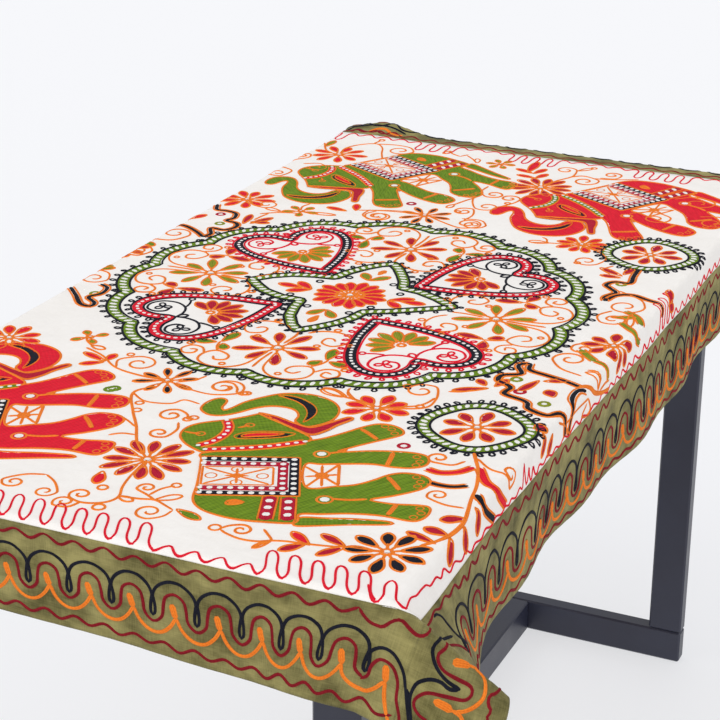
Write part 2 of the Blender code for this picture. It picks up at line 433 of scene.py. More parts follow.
def mapped(tree: Tree, value: Socket, low: float, high: float, to_low: float, to_high: float) -> Socket:
    """A value moved from one range to another, held inside it.

    Args:
        tree: the shader's node tree.
        value: the socket of the value.
        low: the low end.
        high: the high end.
        to_low: the low end of the result.
        to_high: the high end of the result.

    Returns:
        The node's output socket.
    """
    node = tree.nodes.new("ShaderNodeMapRange")
    tree.links.new(value, node.inputs["Value"])
    for name, number in (("From Min", low), ("From Max", high), ("To Min", to_low), ("To Max", to_high)):
        node.inputs[name].default_value = number
    return node.outputs["Result"]


def start_group(name: str, inputs: dict[str, float],
                outputs: tuple[str, ...]) -> tuple[Tree, bpy.types.Node, bpy.types.Node]:
    """A shader node group with number inputs and outputs.

    Args:
        name: the group's name.
        inputs: each input's name and usual value.
        outputs: the outputs' names.

    Returns:
        The group, its input node and its output node.
    """
    group = bpy.data.node_groups.new(name, "ShaderNodeTree")
    for socket, value in inputs.items():
        made = group.interface.new_socket(name=socket, in_out="INPUT", socket_type="NodeSocketFloat")
        made.default_value = value
    for socket in outputs:
        group.interface.new_socket(name=socket, in_out="OUTPUT", socket_type="NodeSocketFloat")
    return group, group.nodes.new("NodeGroupInput"), group.nodes.new("NodeGroupOutput")


def uv_socket(tree: Tree, name: str) -> Socket:
    """The socket of a named UV map.

    Args:
        tree: the shader's node tree.
        name: its name.

    Returns:
        The node's output socket.
    """
    node = tree.nodes.new("ShaderNodeUVMap")
    node.uv_map = name
    return node.outputs["UV"]


def weave_group() -> Tree:
    """Plain weave of a cloth in flat metres: thread height, slubs and a tone.

    Returns:
        The node group.
    """
    group, given, out = start_group("plain_weave", {"Pitch": 0.0007, "Slub": 1.0}, ("Height", "Tone"))
    flat = uv_socket(group, "Flat")
    split = group.nodes.new("ShaderNodeSeparateXYZ")
    group.links.new(flat, split.inputs[0])
    waves = []
    for axis in ("X", "Y"):
        turns = math_node(group, "DIVIDE", split.outputs[axis], given.outputs["Pitch"])
        waves.append(wave(group, turns))
    woven = times(group, waves[0], waves[1])
    slub_x = noise_node(group, stretched(group, flat, (60.0, 900.0, 1.0)), 1.0, 3.0)
    slub_y = noise_node(group, stretched(group, flat, (900.0, 60.0, 1.0)), 1.0, 3.0)
    slubs = plus(group, slub_x, slub_y)
    uneven = times(group, minus(group, slubs, 1.0), given.outputs["Slub"])
    height = plus(group, times(group, woven, 0.35), uneven)
    group.links.new(height, out.inputs["Height"])
    group.links.new(plus(group, uneven, 0.5), out.inputs["Tone"])
    return group


def crumple_group() -> Tree:
    """Soft unevenness of a cloth that was folded and sewn: height, and a tone that is the same height, so
    that the tone paints shade into the hollows of the puckers.

    Returns:
        The node group.
    """
    group, given, out = start_group("cloth_crumple", {"Fine": 0.4}, ("Height", "Tone"))
    flat = uv_socket(group, "Flat")
    broad = noise_node(group, stretched(group, flat, (15.0, 19.0, 1.0)), 1.0, 3.0)
    small = noise_node(group, stretched(group, flat, (62.0, 85.0, 1.0)), 1.0, 3.0)
    uneven = minus(group, small, 0.5)
    mixed = math_node(group, "MULTIPLY_ADD", uneven, given.outputs["Fine"], broad)
    group.links.new(mixed, out.inputs["Height"])
    # Painted shade: the tone is the pucker height, so the cloth is darker in the hollows of its puckers
    group.links.new(mixed, out.inputs["Tone"])
    return group


def stitch_group() -> Tree:
    """Rows of chain stitch along a UV map in metres: link height, and a tone of random streaks with painted
    shade in the furrows, where the links are low.

    Returns:
        The node group.
    """
    group, given, out = start_group("chain_stitch", {"Row": 0.0021, "Link": 0.0040}, ("Height", "Tone"))
    along = uv_socket(group, "Stitch")
    split = group.nodes.new("ShaderNodeSeparateXYZ")
    group.links.new(along, split.inputs[0])
    row = math_node(group, "DIVIDE", split.outputs["Y"], given.outputs["Row"])
    crest = math_node(group, "ABSOLUTE", wave(group, row))
    slant = math_node(group, "PINGPONG", row, 0.5)
    link = plus(group, math_node(group, "DIVIDE", split.outputs["X"], given.outputs["Link"]), slant)
    twist = math_node(group, "ABSOLUTE", wave(group, link))
    streak = noise_node(group, stretched(group, along, (50.0, 420.0, 1.0)), 1.0, 3.0)
    height = plus(group, times(group, crest, 0.6), times(group, twist, 0.4))
    group.links.new(height, out.inputs["Height"])
    # Painted shade: the tone follows the link height, so the furrows between links and rows are darker; the
    # streaks are random
    tone = plus(group, times(group, height, 0.35), times(group, streak, 0.65))
    group.links.new(tone, out.inputs["Tone"])
    return group


def place_group(tree: Tree, group: Tree, **values: float) -> bpy.types.Node:
    """A node that uses a group, with its inputs set.

    Args:
        tree: the shader's node tree.
        group: the node group.
        values: the value for each named input.

    Returns:
        The new node.
    """
    node = tree.nodes.new("ShaderNodeGroup")
    node.node_tree = group
    for name, value in values.items():
        node.inputs[name].default_value = value
    return node


def two_tone(tree: Tree, tone: Socket, dark: tuple, light: tuple, low: float, high: float) -> Socket:
    """A colour between two, by a tone value.

    Args:
        tree: the shader's node tree.
        tone: the socket of the tone.
        dark: the colour at the low end.
        light: the colour at the high end.
        low: the low end.
        high: the high end.

    Returns:
        The node's output socket.
    """
    node = tree.nodes.new("ShaderNodeMix")
    node.data_type = "RGBA"
    node.inputs["A"].default_value = (*dark, 1.0)
    node.inputs["B"].default_value = (*light, 1.0)
    tree.links.new(mapped(tree, tone, low, high, 0.0, 1.0), node.inputs["Factor"])
    return node.outputs["Result"]


def bump_node(tree: Tree, height: Socket, strength: float, distance: float,
              under: Socket | None = None) -> Socket:
    """A Bump node on a height, over another normal where one is given.

    Args:
        tree: the shader's node tree.
        height: the socket of the height.
        strength: how strongly it shows.
        distance: the height of 1, in metres.
        under: the socket of the other normal.

    Returns:
        The node's output socket.
    """
    node = tree.nodes.new("ShaderNodeBump")
    node.inputs["Strength"].default_value = strength
    node.inputs["Distance"].default_value = distance
    tree.links.new(height, node.inputs["Height"])
    if under is not None:
        tree.links.new(under, node.inputs["Normal"])
    return node.outputs["Normal"]


@dataclass(frozen=True)
class ThreadFinish:
    """Embroidery thread: its shade in the furrows and its lit colour, both linear."""

    dark: tuple
    light: tuple
    roughness: float = 0.70
    shine: float = 0.08

    def build(self, name: str, stitches: Tree) -> Material:
        """A thread material with rows of chain stitch.

        Args:
            name: its name.
            stitches: the group of chain stitch.

        Returns:
            The material.
        """
        material, tree, shader = new_material(name)
        chain = place_group(tree, stitches)
        tree.links.new(two_tone(tree, chain.outputs["Tone"], self.dark, self.light, 0.25, 0.75),
                       shader.inputs["Base Color"])
        tree.links.new(bump_node(tree, chain.outputs["Height"], 0.5, 0.0006), shader.inputs["Normal"])
        shader.inputs["Roughness"].default_value = self.roughness
        shader.inputs["Specular IOR Level"].default_value = self.shine
        return material


@dataclass(frozen=True)
class ClothFinish:
    """Woven cotton: two tones, how uneven its threads are, how far its tone follows its puckers (painted
    shade in their hollows, also standing for mottling of the cloth), and its bump in metres.
    """

    dark: tuple
    light: tuple
    slub: float
    cloudy: float
    relief: float
    roughness: float = 0.88

    def build(self, name: str, weave: Tree, crumple: Tree) -> Material:
        """A cloth material with a plain weave and soft unevenness.

        Args:
            name: its name.
            weave: the group of plain weave.
            crumple: the group of unevenness.

        Returns:
            The material.
        """
        material, tree, shader = new_material(name)
        woven = place_group(tree, weave, Slub=self.slub)
        soft = place_group(tree, crumple)
        # Painted shade in the hollows of the puckers, mixed with the cloth's mottled tone
        pucker_shade_and_mottle = times(tree, minus(tree, soft.outputs["Tone"], 0.5), self.cloudy)
        tone = plus(tree, woven.outputs["Tone"], pucker_shade_and_mottle)
        tree.links.new(two_tone(tree, tone, self.dark, self.light, 0.1, 0.9), shader.inputs["Base Color"])
        puckers = bump_node(tree, soft.outputs["Height"], 0.4, 0.006)
        tree.links.new(bump_node(tree, woven.outputs["Height"], 0.35, self.relief, puckers),
                       shader.inputs["Normal"])
        shader.inputs["Roughness"].default_value = self.roughness
        shader.inputs["Specular IOR Level"].default_value = 0.2
        shader.inputs["Sheen Weight"].default_value = 0.05
        return material


@dataclass(frozen=True)
class PaintFinish:
    """Powder-coated steel with a fine grain and lighter rubbed patches at random."""

    colour: tuple = (0.012, 0.013, 0.030)
    rubbed: tuple = (0.026, 0.030, 0.056)
    roughness: float = 0.36

    def build(self, name: str) -> Material:
        """A satin painted metal.

        Args:
            name: its name.

        Returns:
            The material.
        """
        material, tree, shader = new_material(name)
        place = tree.nodes.new("ShaderNodeTexCoord").outputs["Object"]
        cloudy = noise_node(tree, place, 9.0, 4.0)
        tree.links.new(two_tone(tree, cloudy, self.colour, self.rubbed, 0.35, 1.0),
                       shader.inputs["Base Color"])
        grain = noise_node(tree, place, 1400.0, 2.0)
        tree.links.new(bump_node(tree, grain, 0.25, 0.0003), shader.inputs["Normal"])
        shader.inputs["Specular IOR Level"].default_value = 0.55
        tree.links.new(mapped(tree, cloudy, 0.3, 0.7, self.roughness - 0.05, self.roughness + 0.08),
                       shader.inputs["Roughness"])
        return material


@dataclass(frozen=True)
class BoardFinish:
    """Pale board with a straight grain along the table."""

    dark: tuple = (0.46, 0.36, 0.26)
    light: tuple = (0.66, 0.56, 0.44)

    def build(self, name: str) -> Material:
        """A satin wooden board.

        Args:
            name: its name.

        Returns:
            The material.
        """
        material, tree, shader = new_material(name)
        place = tree.nodes.new("ShaderNodeTexCoord").outputs["Object"]
        grain = noise_node(tree, stretched(tree, place, (70.0, 2.2, 70.0)), 1.0, 6.0)
        tree.links.new(two_tone(tree, grain, self.dark, self.light, 0.3, 0.75), shader.inputs["Base Color"])
        tree.links.new(bump_node(tree, grain, 0.2, 0.0004), shader.inputs["Normal"])
        shader.inputs["Roughness"].default_value = 0.5
        return material


def metres(tenths: tuple) -> np.ndarray:
    """Numbers of a table, given in tenths of a millimetre."""
    return np.asarray(tenths, float) / TENTHS


def smooth(points: Points, closed: bool = False, step: float = 0.0035) -> np.ndarray:
    """A Catmull-Rom curve through points, with even steps.

    Args:
        points: rows of x and y.
        closed: whether the curve returns to its start.
        step: the distance between points of the result.

    Returns:
        Rows of x and y; a closed curve doesn't repeat its first point.
    """
    given = np.asarray(points, float)
    if closed:
        given = np.vstack([given[-1], given, given[:2]])
    else:
        given = np.vstack([2 * given[0] - given[1], given, 2 * given[-1] - given[-2]])
    t = np.linspace(0, 1, 12, endpoint=False)[:, None]
    spans = []
    for a, b, c, d in zip(given, given[1:], given[2:], given[3:]):
        spans.append(0.5 * (2 * b + (c - a) * t + (2 * a - 5 * b + 4 * c - d) * t ** 2
                            + (3 * b - a - 3 * c + d) * t ** 3))
    line = np.vstack(spans + [given[-2][None, :]])
    return evenly(line, step, closed)


def evenly(line: np.ndarray, step: float, closed: bool = False) -> np.ndarray:
    """A polyline with even steps; a closed one is given with its end on its start.

    Args:
        line: rows of flat x and y.
        step: the distance between its points.
        closed: whether it returns to its start.

    Returns:
        Rows of x and y.
    """
    lengths = np.concatenate([[0.0], np.cumsum(np.linalg.norm(np.diff(line, axis=0), axis=1))])
    count = max(3, int(round(lengths[-1] / step)) + 1)
    places = np.linspace(0, lengths[-1], count)
    even = np.stack([np.interp(places, lengths, line[:, k]) for k in (0, 1)], axis=1)
    return even[:-1] if closed else even


def directions(line: np.ndarray, closed: bool) -> np.ndarray:
    """Unit directions along a polyline.

    Args:
        line: rows of flat x and y.
        closed: whether it returns to its start.

    Returns:
        One unit direction for each point.
    """
    if closed:
        along = np.roll(line, -1, axis=0) - np.roll(line, 1, axis=0)
    else:
        along = np.gradient(line, axis=0)
    return along / np.maximum(np.linalg.norm(along, axis=1), 1e-9)[:, None]


def beside(line: np.ndarray, offset: float, closed: bool) -> np.ndarray:
    """A polyline moved to its left by an offset."""
    along = directions(line, closed)
    return line + offset * np.stack([-along[:, 1], along[:, 0]], axis=1)


def turned(points: Points, centre: Points, degrees: float = 0.0, scale: float = 1.0,
           mirror: bool = False) -> np.ndarray:
    """Points of a motif's own drawing, scaled, mirrored across its x axis, turned and placed.

    Args:
        points: rows of x and y.
        centre: where it goes on the flat cloth.
        degrees: its turn.
        scale: its scale.
        mirror: whether it is mirrored.

    Returns:
        Rows of flat x and y.
    """
    local = np.asarray(points, float) * scale
    if mirror:
        local = local * np.array([1.0, -1.0])
    angle = math.radians(degrees)
    spin = np.array([[math.cos(angle), math.sin(angle)], [-math.sin(angle), math.cos(angle)]])
    return local @ spin + np.array(centre)


@dataclass(frozen=True)
class Sheet:
    """A drawing laid on the flat cloth: its far left corner and its units in a metre.

    Its second number runs towards the near side.
    """

    left: float
    far: float
    units: float

    def at(self, points: Points) -> np.ndarray:
        """Points of the drawing on the flat cloth."""
        offset = np.asarray(points, float) * np.array([1.0, -1.0]) / self.units
        return np.array([self.left, self.far]) + offset


MIDDLE = Sheet(-0.340, 0.320, 1900.0)
NEAR_END = Sheet(-0.020, -0.260, 3800.0)
FAR_END = Sheet(-0.340, 0.680, 1900.0)


def anticlockwise(line: np.ndarray) -> np.ndarray:
    """A closed line, turned round where it runs clockwise.

    Args:
        line: rows of flat x and y.

    Returns:
        The line, anticlockwise.
    """
    x, y = line[:, 0], line[:, 1]
    area = (x * np.roll(y, -1) - np.roll(x, -1) * y).sum()
    return line if area > 0 else line[::-1]


def inside(points: np.ndarray, outline: np.ndarray) -> np.ndarray:
    """Which points lie inside a closed outline.

    Args:
        points: rows of x and y.
        outline: rows of x and y around it.

    Returns:
        True or false for each point.
    """
    x, y = points[:, :1], points[:, 1:]
    x1, y1 = outline[:, 0][None, :], outline[:, 1][None, :]
    x2, y2 = np.roll(outline[:, 0], -1)[None, :], np.roll(outline[:, 1], -1)[None, :]
    crosses = (y1 > y) != (y2 > y)
    rise = np.where(y2 == y1, 1.0, y2 - y1)
    return (crosses & (x < (x2 - x1) * (y - y1) / rise + x1)).sum(axis=1) % 2 == 1


def distance_to(points: np.ndarray, outline: np.ndarray) -> np.ndarray:
    """Distance from points to a closed outline.

    Args:
        points: rows of x and y.
        outline: rows of x and y around it.

    Returns:
        One distance for each point.
    """
    start, end = outline, np.roll(outline, -1, axis=0)
    along = end - start
    lengths = np.maximum((along ** 2).sum(axis=1), 1e-12)
    offset = points[:, None, :] - start[None, :, :]
    share = np.clip((offset * along[None, :, :]).sum(axis=2) / lengths[None, :], 0.0, 1.0)
    return np.linalg.norm(offset - share[:, :, None] * along[None, :, :], axis=2).min(axis=1)


class Needlework:
    """Thread laid on one cloth: chains along lines and filled shapes, kept by colour."""

    SUNK = -0.00015
    CROSS = ((-0.5, 0.0), (-0.34, 0.72), (0.0, 1.0), (0.34, 0.72), (0.5, 0.0))

    def __init__(self, cloth: str, drape: Drape) -> None:
        """Start with no thread on a cloth.

        Args:
            cloth: the cloth's name, which the pieces' names begin with.
            drape: the fall that the thread follows.
        """
        self.cloth = cloth
        self.drape = drape
        self.points: dict[Thread, list] = {}
        self.uv: dict[Thread, list] = {}
        self.faces: dict[Thread, list] = {}
        self.count: dict[Thread, int] = {}

    def add(self, thread: Thread, flat: np.ndarray, heights: np.ndarray, faces: np.ndarray,
            uv: np.ndarray) -> None:
        """Keep points at heights over the cloth's face, with their faces and stitch positions.

        Args:
            thread: its colour.
            flat: N rows of flat x and y.
            heights: their heights.
            faces: rows of point numbers.
            uv: rows of stitch positions.
        """
        lift = CLOTH_THICK / 2 + heights
        self.points.setdefault(thread, []).append((flat, lift))
        self.uv.setdefault(thread, []).append(uv)
        start = self.count.get(thread, 0)
        self.faces.setdefault(thread, []).extend((faces + start).tolist())
        self.count[thread] = start + len(flat)

    def chain(self, line: np.ndarray, thread: Thread, width: float, closed: bool = False,
              high: float = 0.0009, over: float = 0.0) -> None:
        """A line of chain stitch.

        Args:
            line: rows of flat x and y.
            thread: its colour.
            width: its width in metres.
            closed: whether it returns to its start.
            high: its height over what it lies on.
            over: the height of what it lies on.
        """
        along = directions(line, closed)
        left = np.stack([-along[:, 1], along[:, 0]], axis=1)
        taper = np.ones(len(line))
        if not closed:
            taper[0] = taper[-1] = 0.45
        lengths = np.concatenate([[0.0], np.cumsum(np.linalg.norm(np.diff(line, axis=0), axis=1))])
        flat, heights, uv = [], [], []
        for side, rise in self.CROSS:
            flat.append(line + (side * width * taper)[:, None] * left)
            heights.append(np.where(rise == 0.0, over + self.SUNK, over + rise * high * taper))
            uv.append(np.stack([lengths, np.full(len(line), side * width + 0.5)], axis=1))
        n, rows = len(line), len(self.CROSS)
        i = np.arange(n if closed else n - 1)
        j = (i + 1) % n
        faces = np.vstack([np.stack([k * n + i, k * n + j, (k + 1) * n + j, (k + 1) * n + i], axis=1)
                           for k in range(rows - 1)])
        self.add(thread, np.vstack(flat), np.concatenate(heights), faces, np.vstack(uv))

    def fill(self, outline: np.ndarray, thread: Thread, grain: float = 0.0, high: float = 0.0006,
             over: float = 0.0, spacing: float = 0.0035) -> None:
        """A shape filled with rows of stitches.

        Args:
            outline: rows of flat x and y around the shape.
            thread: its colour.
            grain: the direction of the rows in degrees.
            high: the height of its middle over what it lies on.
            over: the height of what it lies on.
            spacing: the distance between the points inside it.
        """
        low, top = outline.min(axis=0), outline.max(axis=0)
        across = [np.arange(low[k] + spacing / 2, top[k], spacing) for k in (0, 1)]
        grid = np.stack(np.meshgrid(*across), axis=-1).reshape(-1, 2)
        if len(grid):
            grid = grid[inside(grid, outline)]
        if len(grid):
            grid = grid[distance_to(grid, outline) > 0.45 * spacing]
        everything = np.vstack([outline, grid]) if len(grid) else outline
        ring = [list(range(len(outline)))]
        found, _, faces, *_ = geometry.delaunay_2d_cdt([Vector(p) for p in everything], [], ring, 1, 1e-6)
        flat = np.array([tuple(p) for p in found])
        rise = np.clip(distance_to(flat, outline) / 0.0022, 0.0, 1.0)
        heights = over + self.SUNK + (high - self.SUNK) * np.sqrt(rise)
        angle = math.radians(grain)
        spin = np.array([[math.cos(angle), -math.sin(angle)], [math.sin(angle), math.cos(angle)]])
        triangles = np.array([list(face) for face in faces if len(face) == 3])
        self.add(thread, flat, heights, triangles, flat @ spin + 0.5)

    def dot(self, centre: Points, long: float, wide: float, degrees: float, thread: Thread,
            over: float = 0.0006) -> None:
        """A small oval of thread over a band.

        Args:
            centre: where it goes on the flat cloth.
            long: its length.
            wide: its width.
            degrees: its turn.
            thread: its colour.
            over: the height of what it lies on.
        """
        turn = np.linspace(0, 2 * np.pi, 8, endpoint=False)
        oval = turned(np.stack([np.cos(turn) * long / 2, np.sin(turn) * wide / 2], axis=1), centre, degrees)
        flat = np.vstack([oval, np.array(centre)[None, :]])
        heights = np.full(9, over - self.SUNK)
        heights[-1] = over + 0.0007
        faces = np.array([[k, (k + 1) % 8, 8] for k in range(8)])
        self.add(thread, flat, heights, faces, flat)

    def ring(self, centre: Points, radius: float, thread: Thread, width: float) -> None:
        """A small round loop of chain stitch.

        Args:
            centre: its middle on the flat cloth.
            radius: its radius.
            thread: its colour.
            width: the chain's width.
        """
        turn = np.linspace(0, 2 * np.pi, max(8, int(radius * 2 * np.pi / 0.003)), endpoint=False)
        self.chain(np.array(centre) + radius * np.stack([np.cos(turn), np.sin(turn)], axis=1),
                   thread, width, closed=True)

    def band(self, line: np.ndarray, thread: Thread, width: float, closed: bool, dots: float = 0.0,
             dot_size: tuple = (0.0050, 0.0032), slant: float = 0.0, over: float = 0.0) -> None:
        """A wide flat band with white ovals along it.

        Args:
            line: rows of flat x and y along its middle.
            thread: its colour.
            width: its width.
            closed: whether it returns to its start.
            dots: the distance between its ovals, or 0 for none.
            dot_size: the ovals' length and width.
            slant: the ovals' turn from the band's direction, in degrees.
            over: the height of what it lies on.
        """
        self.chain(line, thread, width, closed, 0.0007, over)
        if not dots:
            return
        whole = np.vstack([line, line[:1]]) if closed else line
        places = evenly(whole, dots, closed)
        for place, along in zip(places, directions(places, closed)):
            self.dot(place, *dot_size, math.degrees(math.atan2(along[1], along[0])) + slant,
                     Thread.WHITE, over + 0.0005)

    def finish(self, materials: dict[Thread, Material]) -> list[bpy.types.Object]:
        """One mesh for each colour of thread.

        Args:
            materials: the threads' finishes.

        Returns:
            The new pieces.
        """
        pieces = []
        for thread, parts in self.points.items():
            flat = np.vstack([part[0] for part in parts])
            lift = np.concatenate([part[1] for part in parts])
            points = self.drape.points(flat) + lift[:, None] * self.drape.normals(flat)
            name = f"{self.cloth}_thread_{thread.value}"
            pieces.append(mesh_piece(name, points, self.faces[thread], materials[thread], "Stitch",
                                     np.vstack(self.uv[thread])))
            LOG.info("%s: %d points", name, len(points))
        return pieces


# A petal's outline: shares of its length and of half its width
PETAL = ((0.0, 0.0), (0.25, 0.62), (0.55, 1.0), (0.82, 0.80), (1.0, 0.0), (0.82, -0.80), (0.55, -1.0),
         (0.25, -0.62))


def petal(base: Points, tip: Points, width: float) -> np.ndarray:
    """The outline of a petal or leaf, fullest past its middle.

    Args:
        base: where it starts.
        tip: where it ends.
        width: its width.

    Returns:
        Rows of x and y.
    """
    start, end = np.array(base, float), np.array(tip, float)
    along = end - start
    left = np.array([-along[1], along[0]]) / max(np.linalg.norm(along), 1e-9) * width / 2
    return smooth([start + u * along + v * left for u, v in PETAL], closed=True, step=0.0025)


def draw_leaf(work: Needlework, base: Points, tip: Points, width: float, thread: Thread) -> None:
    """A filled leaf with an orange chain round it.

    Args:
        work: the cloth's needlework.
        base: where it starts on the flat cloth.
        tip: where it ends.
        width: its greatest width.
        thread: its colour.
    """
    edge = petal(base, tip, width)
    grain = math.degrees(math.atan2(tip[1] - base[1], tip[0] - base[0]))
    work.fill(edge, thread, grain, spacing=0.003)
    if thread is not Thread.ORANGE:
        work.chain(edge, Thread.ORANGE, 0.0027, closed=True)


@dataclass(frozen=True)
class Flower:
    """A flower of long petals round a ringed eye."""

    x: float
    y: float
    radius: float
    petals: int
    thread: Thread
    slim: float = 0.38
    turn: float = 12.0

    def draw(self, work: Needlework) -> None:
        """Lay its petals, eye and stalks.

        Args:
            work: the cloth's needlework.
        """
        centre = np.array([self.x, self.y])
        for k in range(self.petals):
            angle = math.radians(self.turn) + 2 * math.pi * (k + 0.06 * math.sin(2.3 * k)) / self.petals
            way = np.array([math.cos(angle), math.sin(angle)])
            reach = self.radius * (0.98 + 0.06 * math.sin(4.1 * k + self.turn))
            draw_leaf(work, centre + way * self.radius * 0.30, centre + way * reach,
                      self.slim * self.radius, self.thread)
            stalk = np.array([centre + way * 0.10 * self.radius, centre + way * 0.42 * self.radius])
            work.chain(evenly(stalk, 0.003), Thread.ORANGE, 0.0034)
        work.ring((self.x, self.y), 0.13 * self.radius, Thread.ORANGE, 0.0046)
        work.dot((self.x, self.y), 0.14 * self.radius, 0.12 * self.radius, 0.0, Thread.WHITE, 0.0009)


def draw_curl(work: Needlework, stem: np.ndarray, centre: np.ndarray) -> None:
    """An orange stem that winds into a spiral.

    Args:
        work: the cloth's needlework.
        stem: rows of flat x and y; the last is on the spiral.
        centre: the spiral's middle.
    """
    arm = stem[-1] - centre
    way = stem[-1] - stem[-2]
    hand = 1.0 if arm[0] * way[1] - arm[1] * way[0] > 0 else -1.0
    turn = np.linspace(0.0, CURL_TURNS * 2 * np.pi, 15)[1:]
    size = np.hypot(*arm) * (1.0 - 0.80 * turn / turn[-1])
    angle = math.atan2(arm[1], arm[0]) + hand * turn
    spiral = centre + np.stack([size * np.cos(angle), size * np.sin(angle)], axis=1)
    work.chain(smooth(np.vstack([stem, spiral]), step=0.003), Thread.ORANGE, CURL_WIDTH)


def draw_sash(work: Needlework, points: np.ndarray, width: float, thread: Thread) -> None:
    """A long leaf of one colour between two orange lines.

    Args:
        work: the cloth's needlework.
        points: rows of x and y.
        width: its width.
        thread: its colour.
    """
    line = smooth(points)
    work.chain(line, thread, width, high=0.0007)
    for side in (0.5, -0.5):
        work.chain(beside(line, side * (width + 0.0010), False), Thread.ORANGE, 0.0026)


@dataclass(frozen=True)
class LadderBand:
    """A green band with white eyelets, black outlines and black loops outside."""

    width: float
    eyelet: float
    loop: float
    loop_size: float

    def draw(self, work: Needlework, line: np.ndarray) -> None:
        """Lay the band along a closed line, given as rows of flat x and y along its middle.

        Args:
            work: the cloth's needlework.
            line: rows of flat x and y.
        """
        line = anticlockwise(line)
        work.band(line, Thread.GREEN, self.width, True, self.eyelet, (0.70 * self.width, 0.0054), 62.0)
        for offset in (0.53 * self.width, -0.53 * self.width):
            work.chain(beside(line, offset, True), Thread.BLACK, 0.0030, True, 0.0011)
        edge = beside(line, -(0.55 * self.width + 0.0004), True)
        draw_loops(work, edge, self.loop, Thread.BLACK, self.loop_size)


def draw_loops(work: Needlework, line: np.ndarray, spacing: float, thread: Thread, size: float) -> None:
    """A row of small loops standing outside a closed line that runs anticlockwise.

    Args:
        work: the cloth's needlework.
        line: rows of flat x and y.
        spacing: the distance between loops.
        thread: their colour.
        size: how far they stand out.
    """
    places = evenly(np.vstack([line, line[:1]]), spacing, True)
    for k, (place, way) in enumerate(zip(places, directions(places, True))):
        out = np.array([way[1], -way[0]]) * size * (1.0 + 0.12 * math.sin(5.0 * k))
        side = np.array([-out[1], out[0]]) * 0.30
        lean = way * size * 0.16 * math.sin(1.7 * k)
        loop = [place, place + 0.42 * out + side, place + 0.82 * out + 0.8 * side + lean,
                place + 0.98 * out + lean, place + 0.82 * out - 0.8 * side + lean,
                place + 0.42 * out - side]
        work.chain(smooth(loop, True, 0.0024), thread, 0.0027, closed=True)


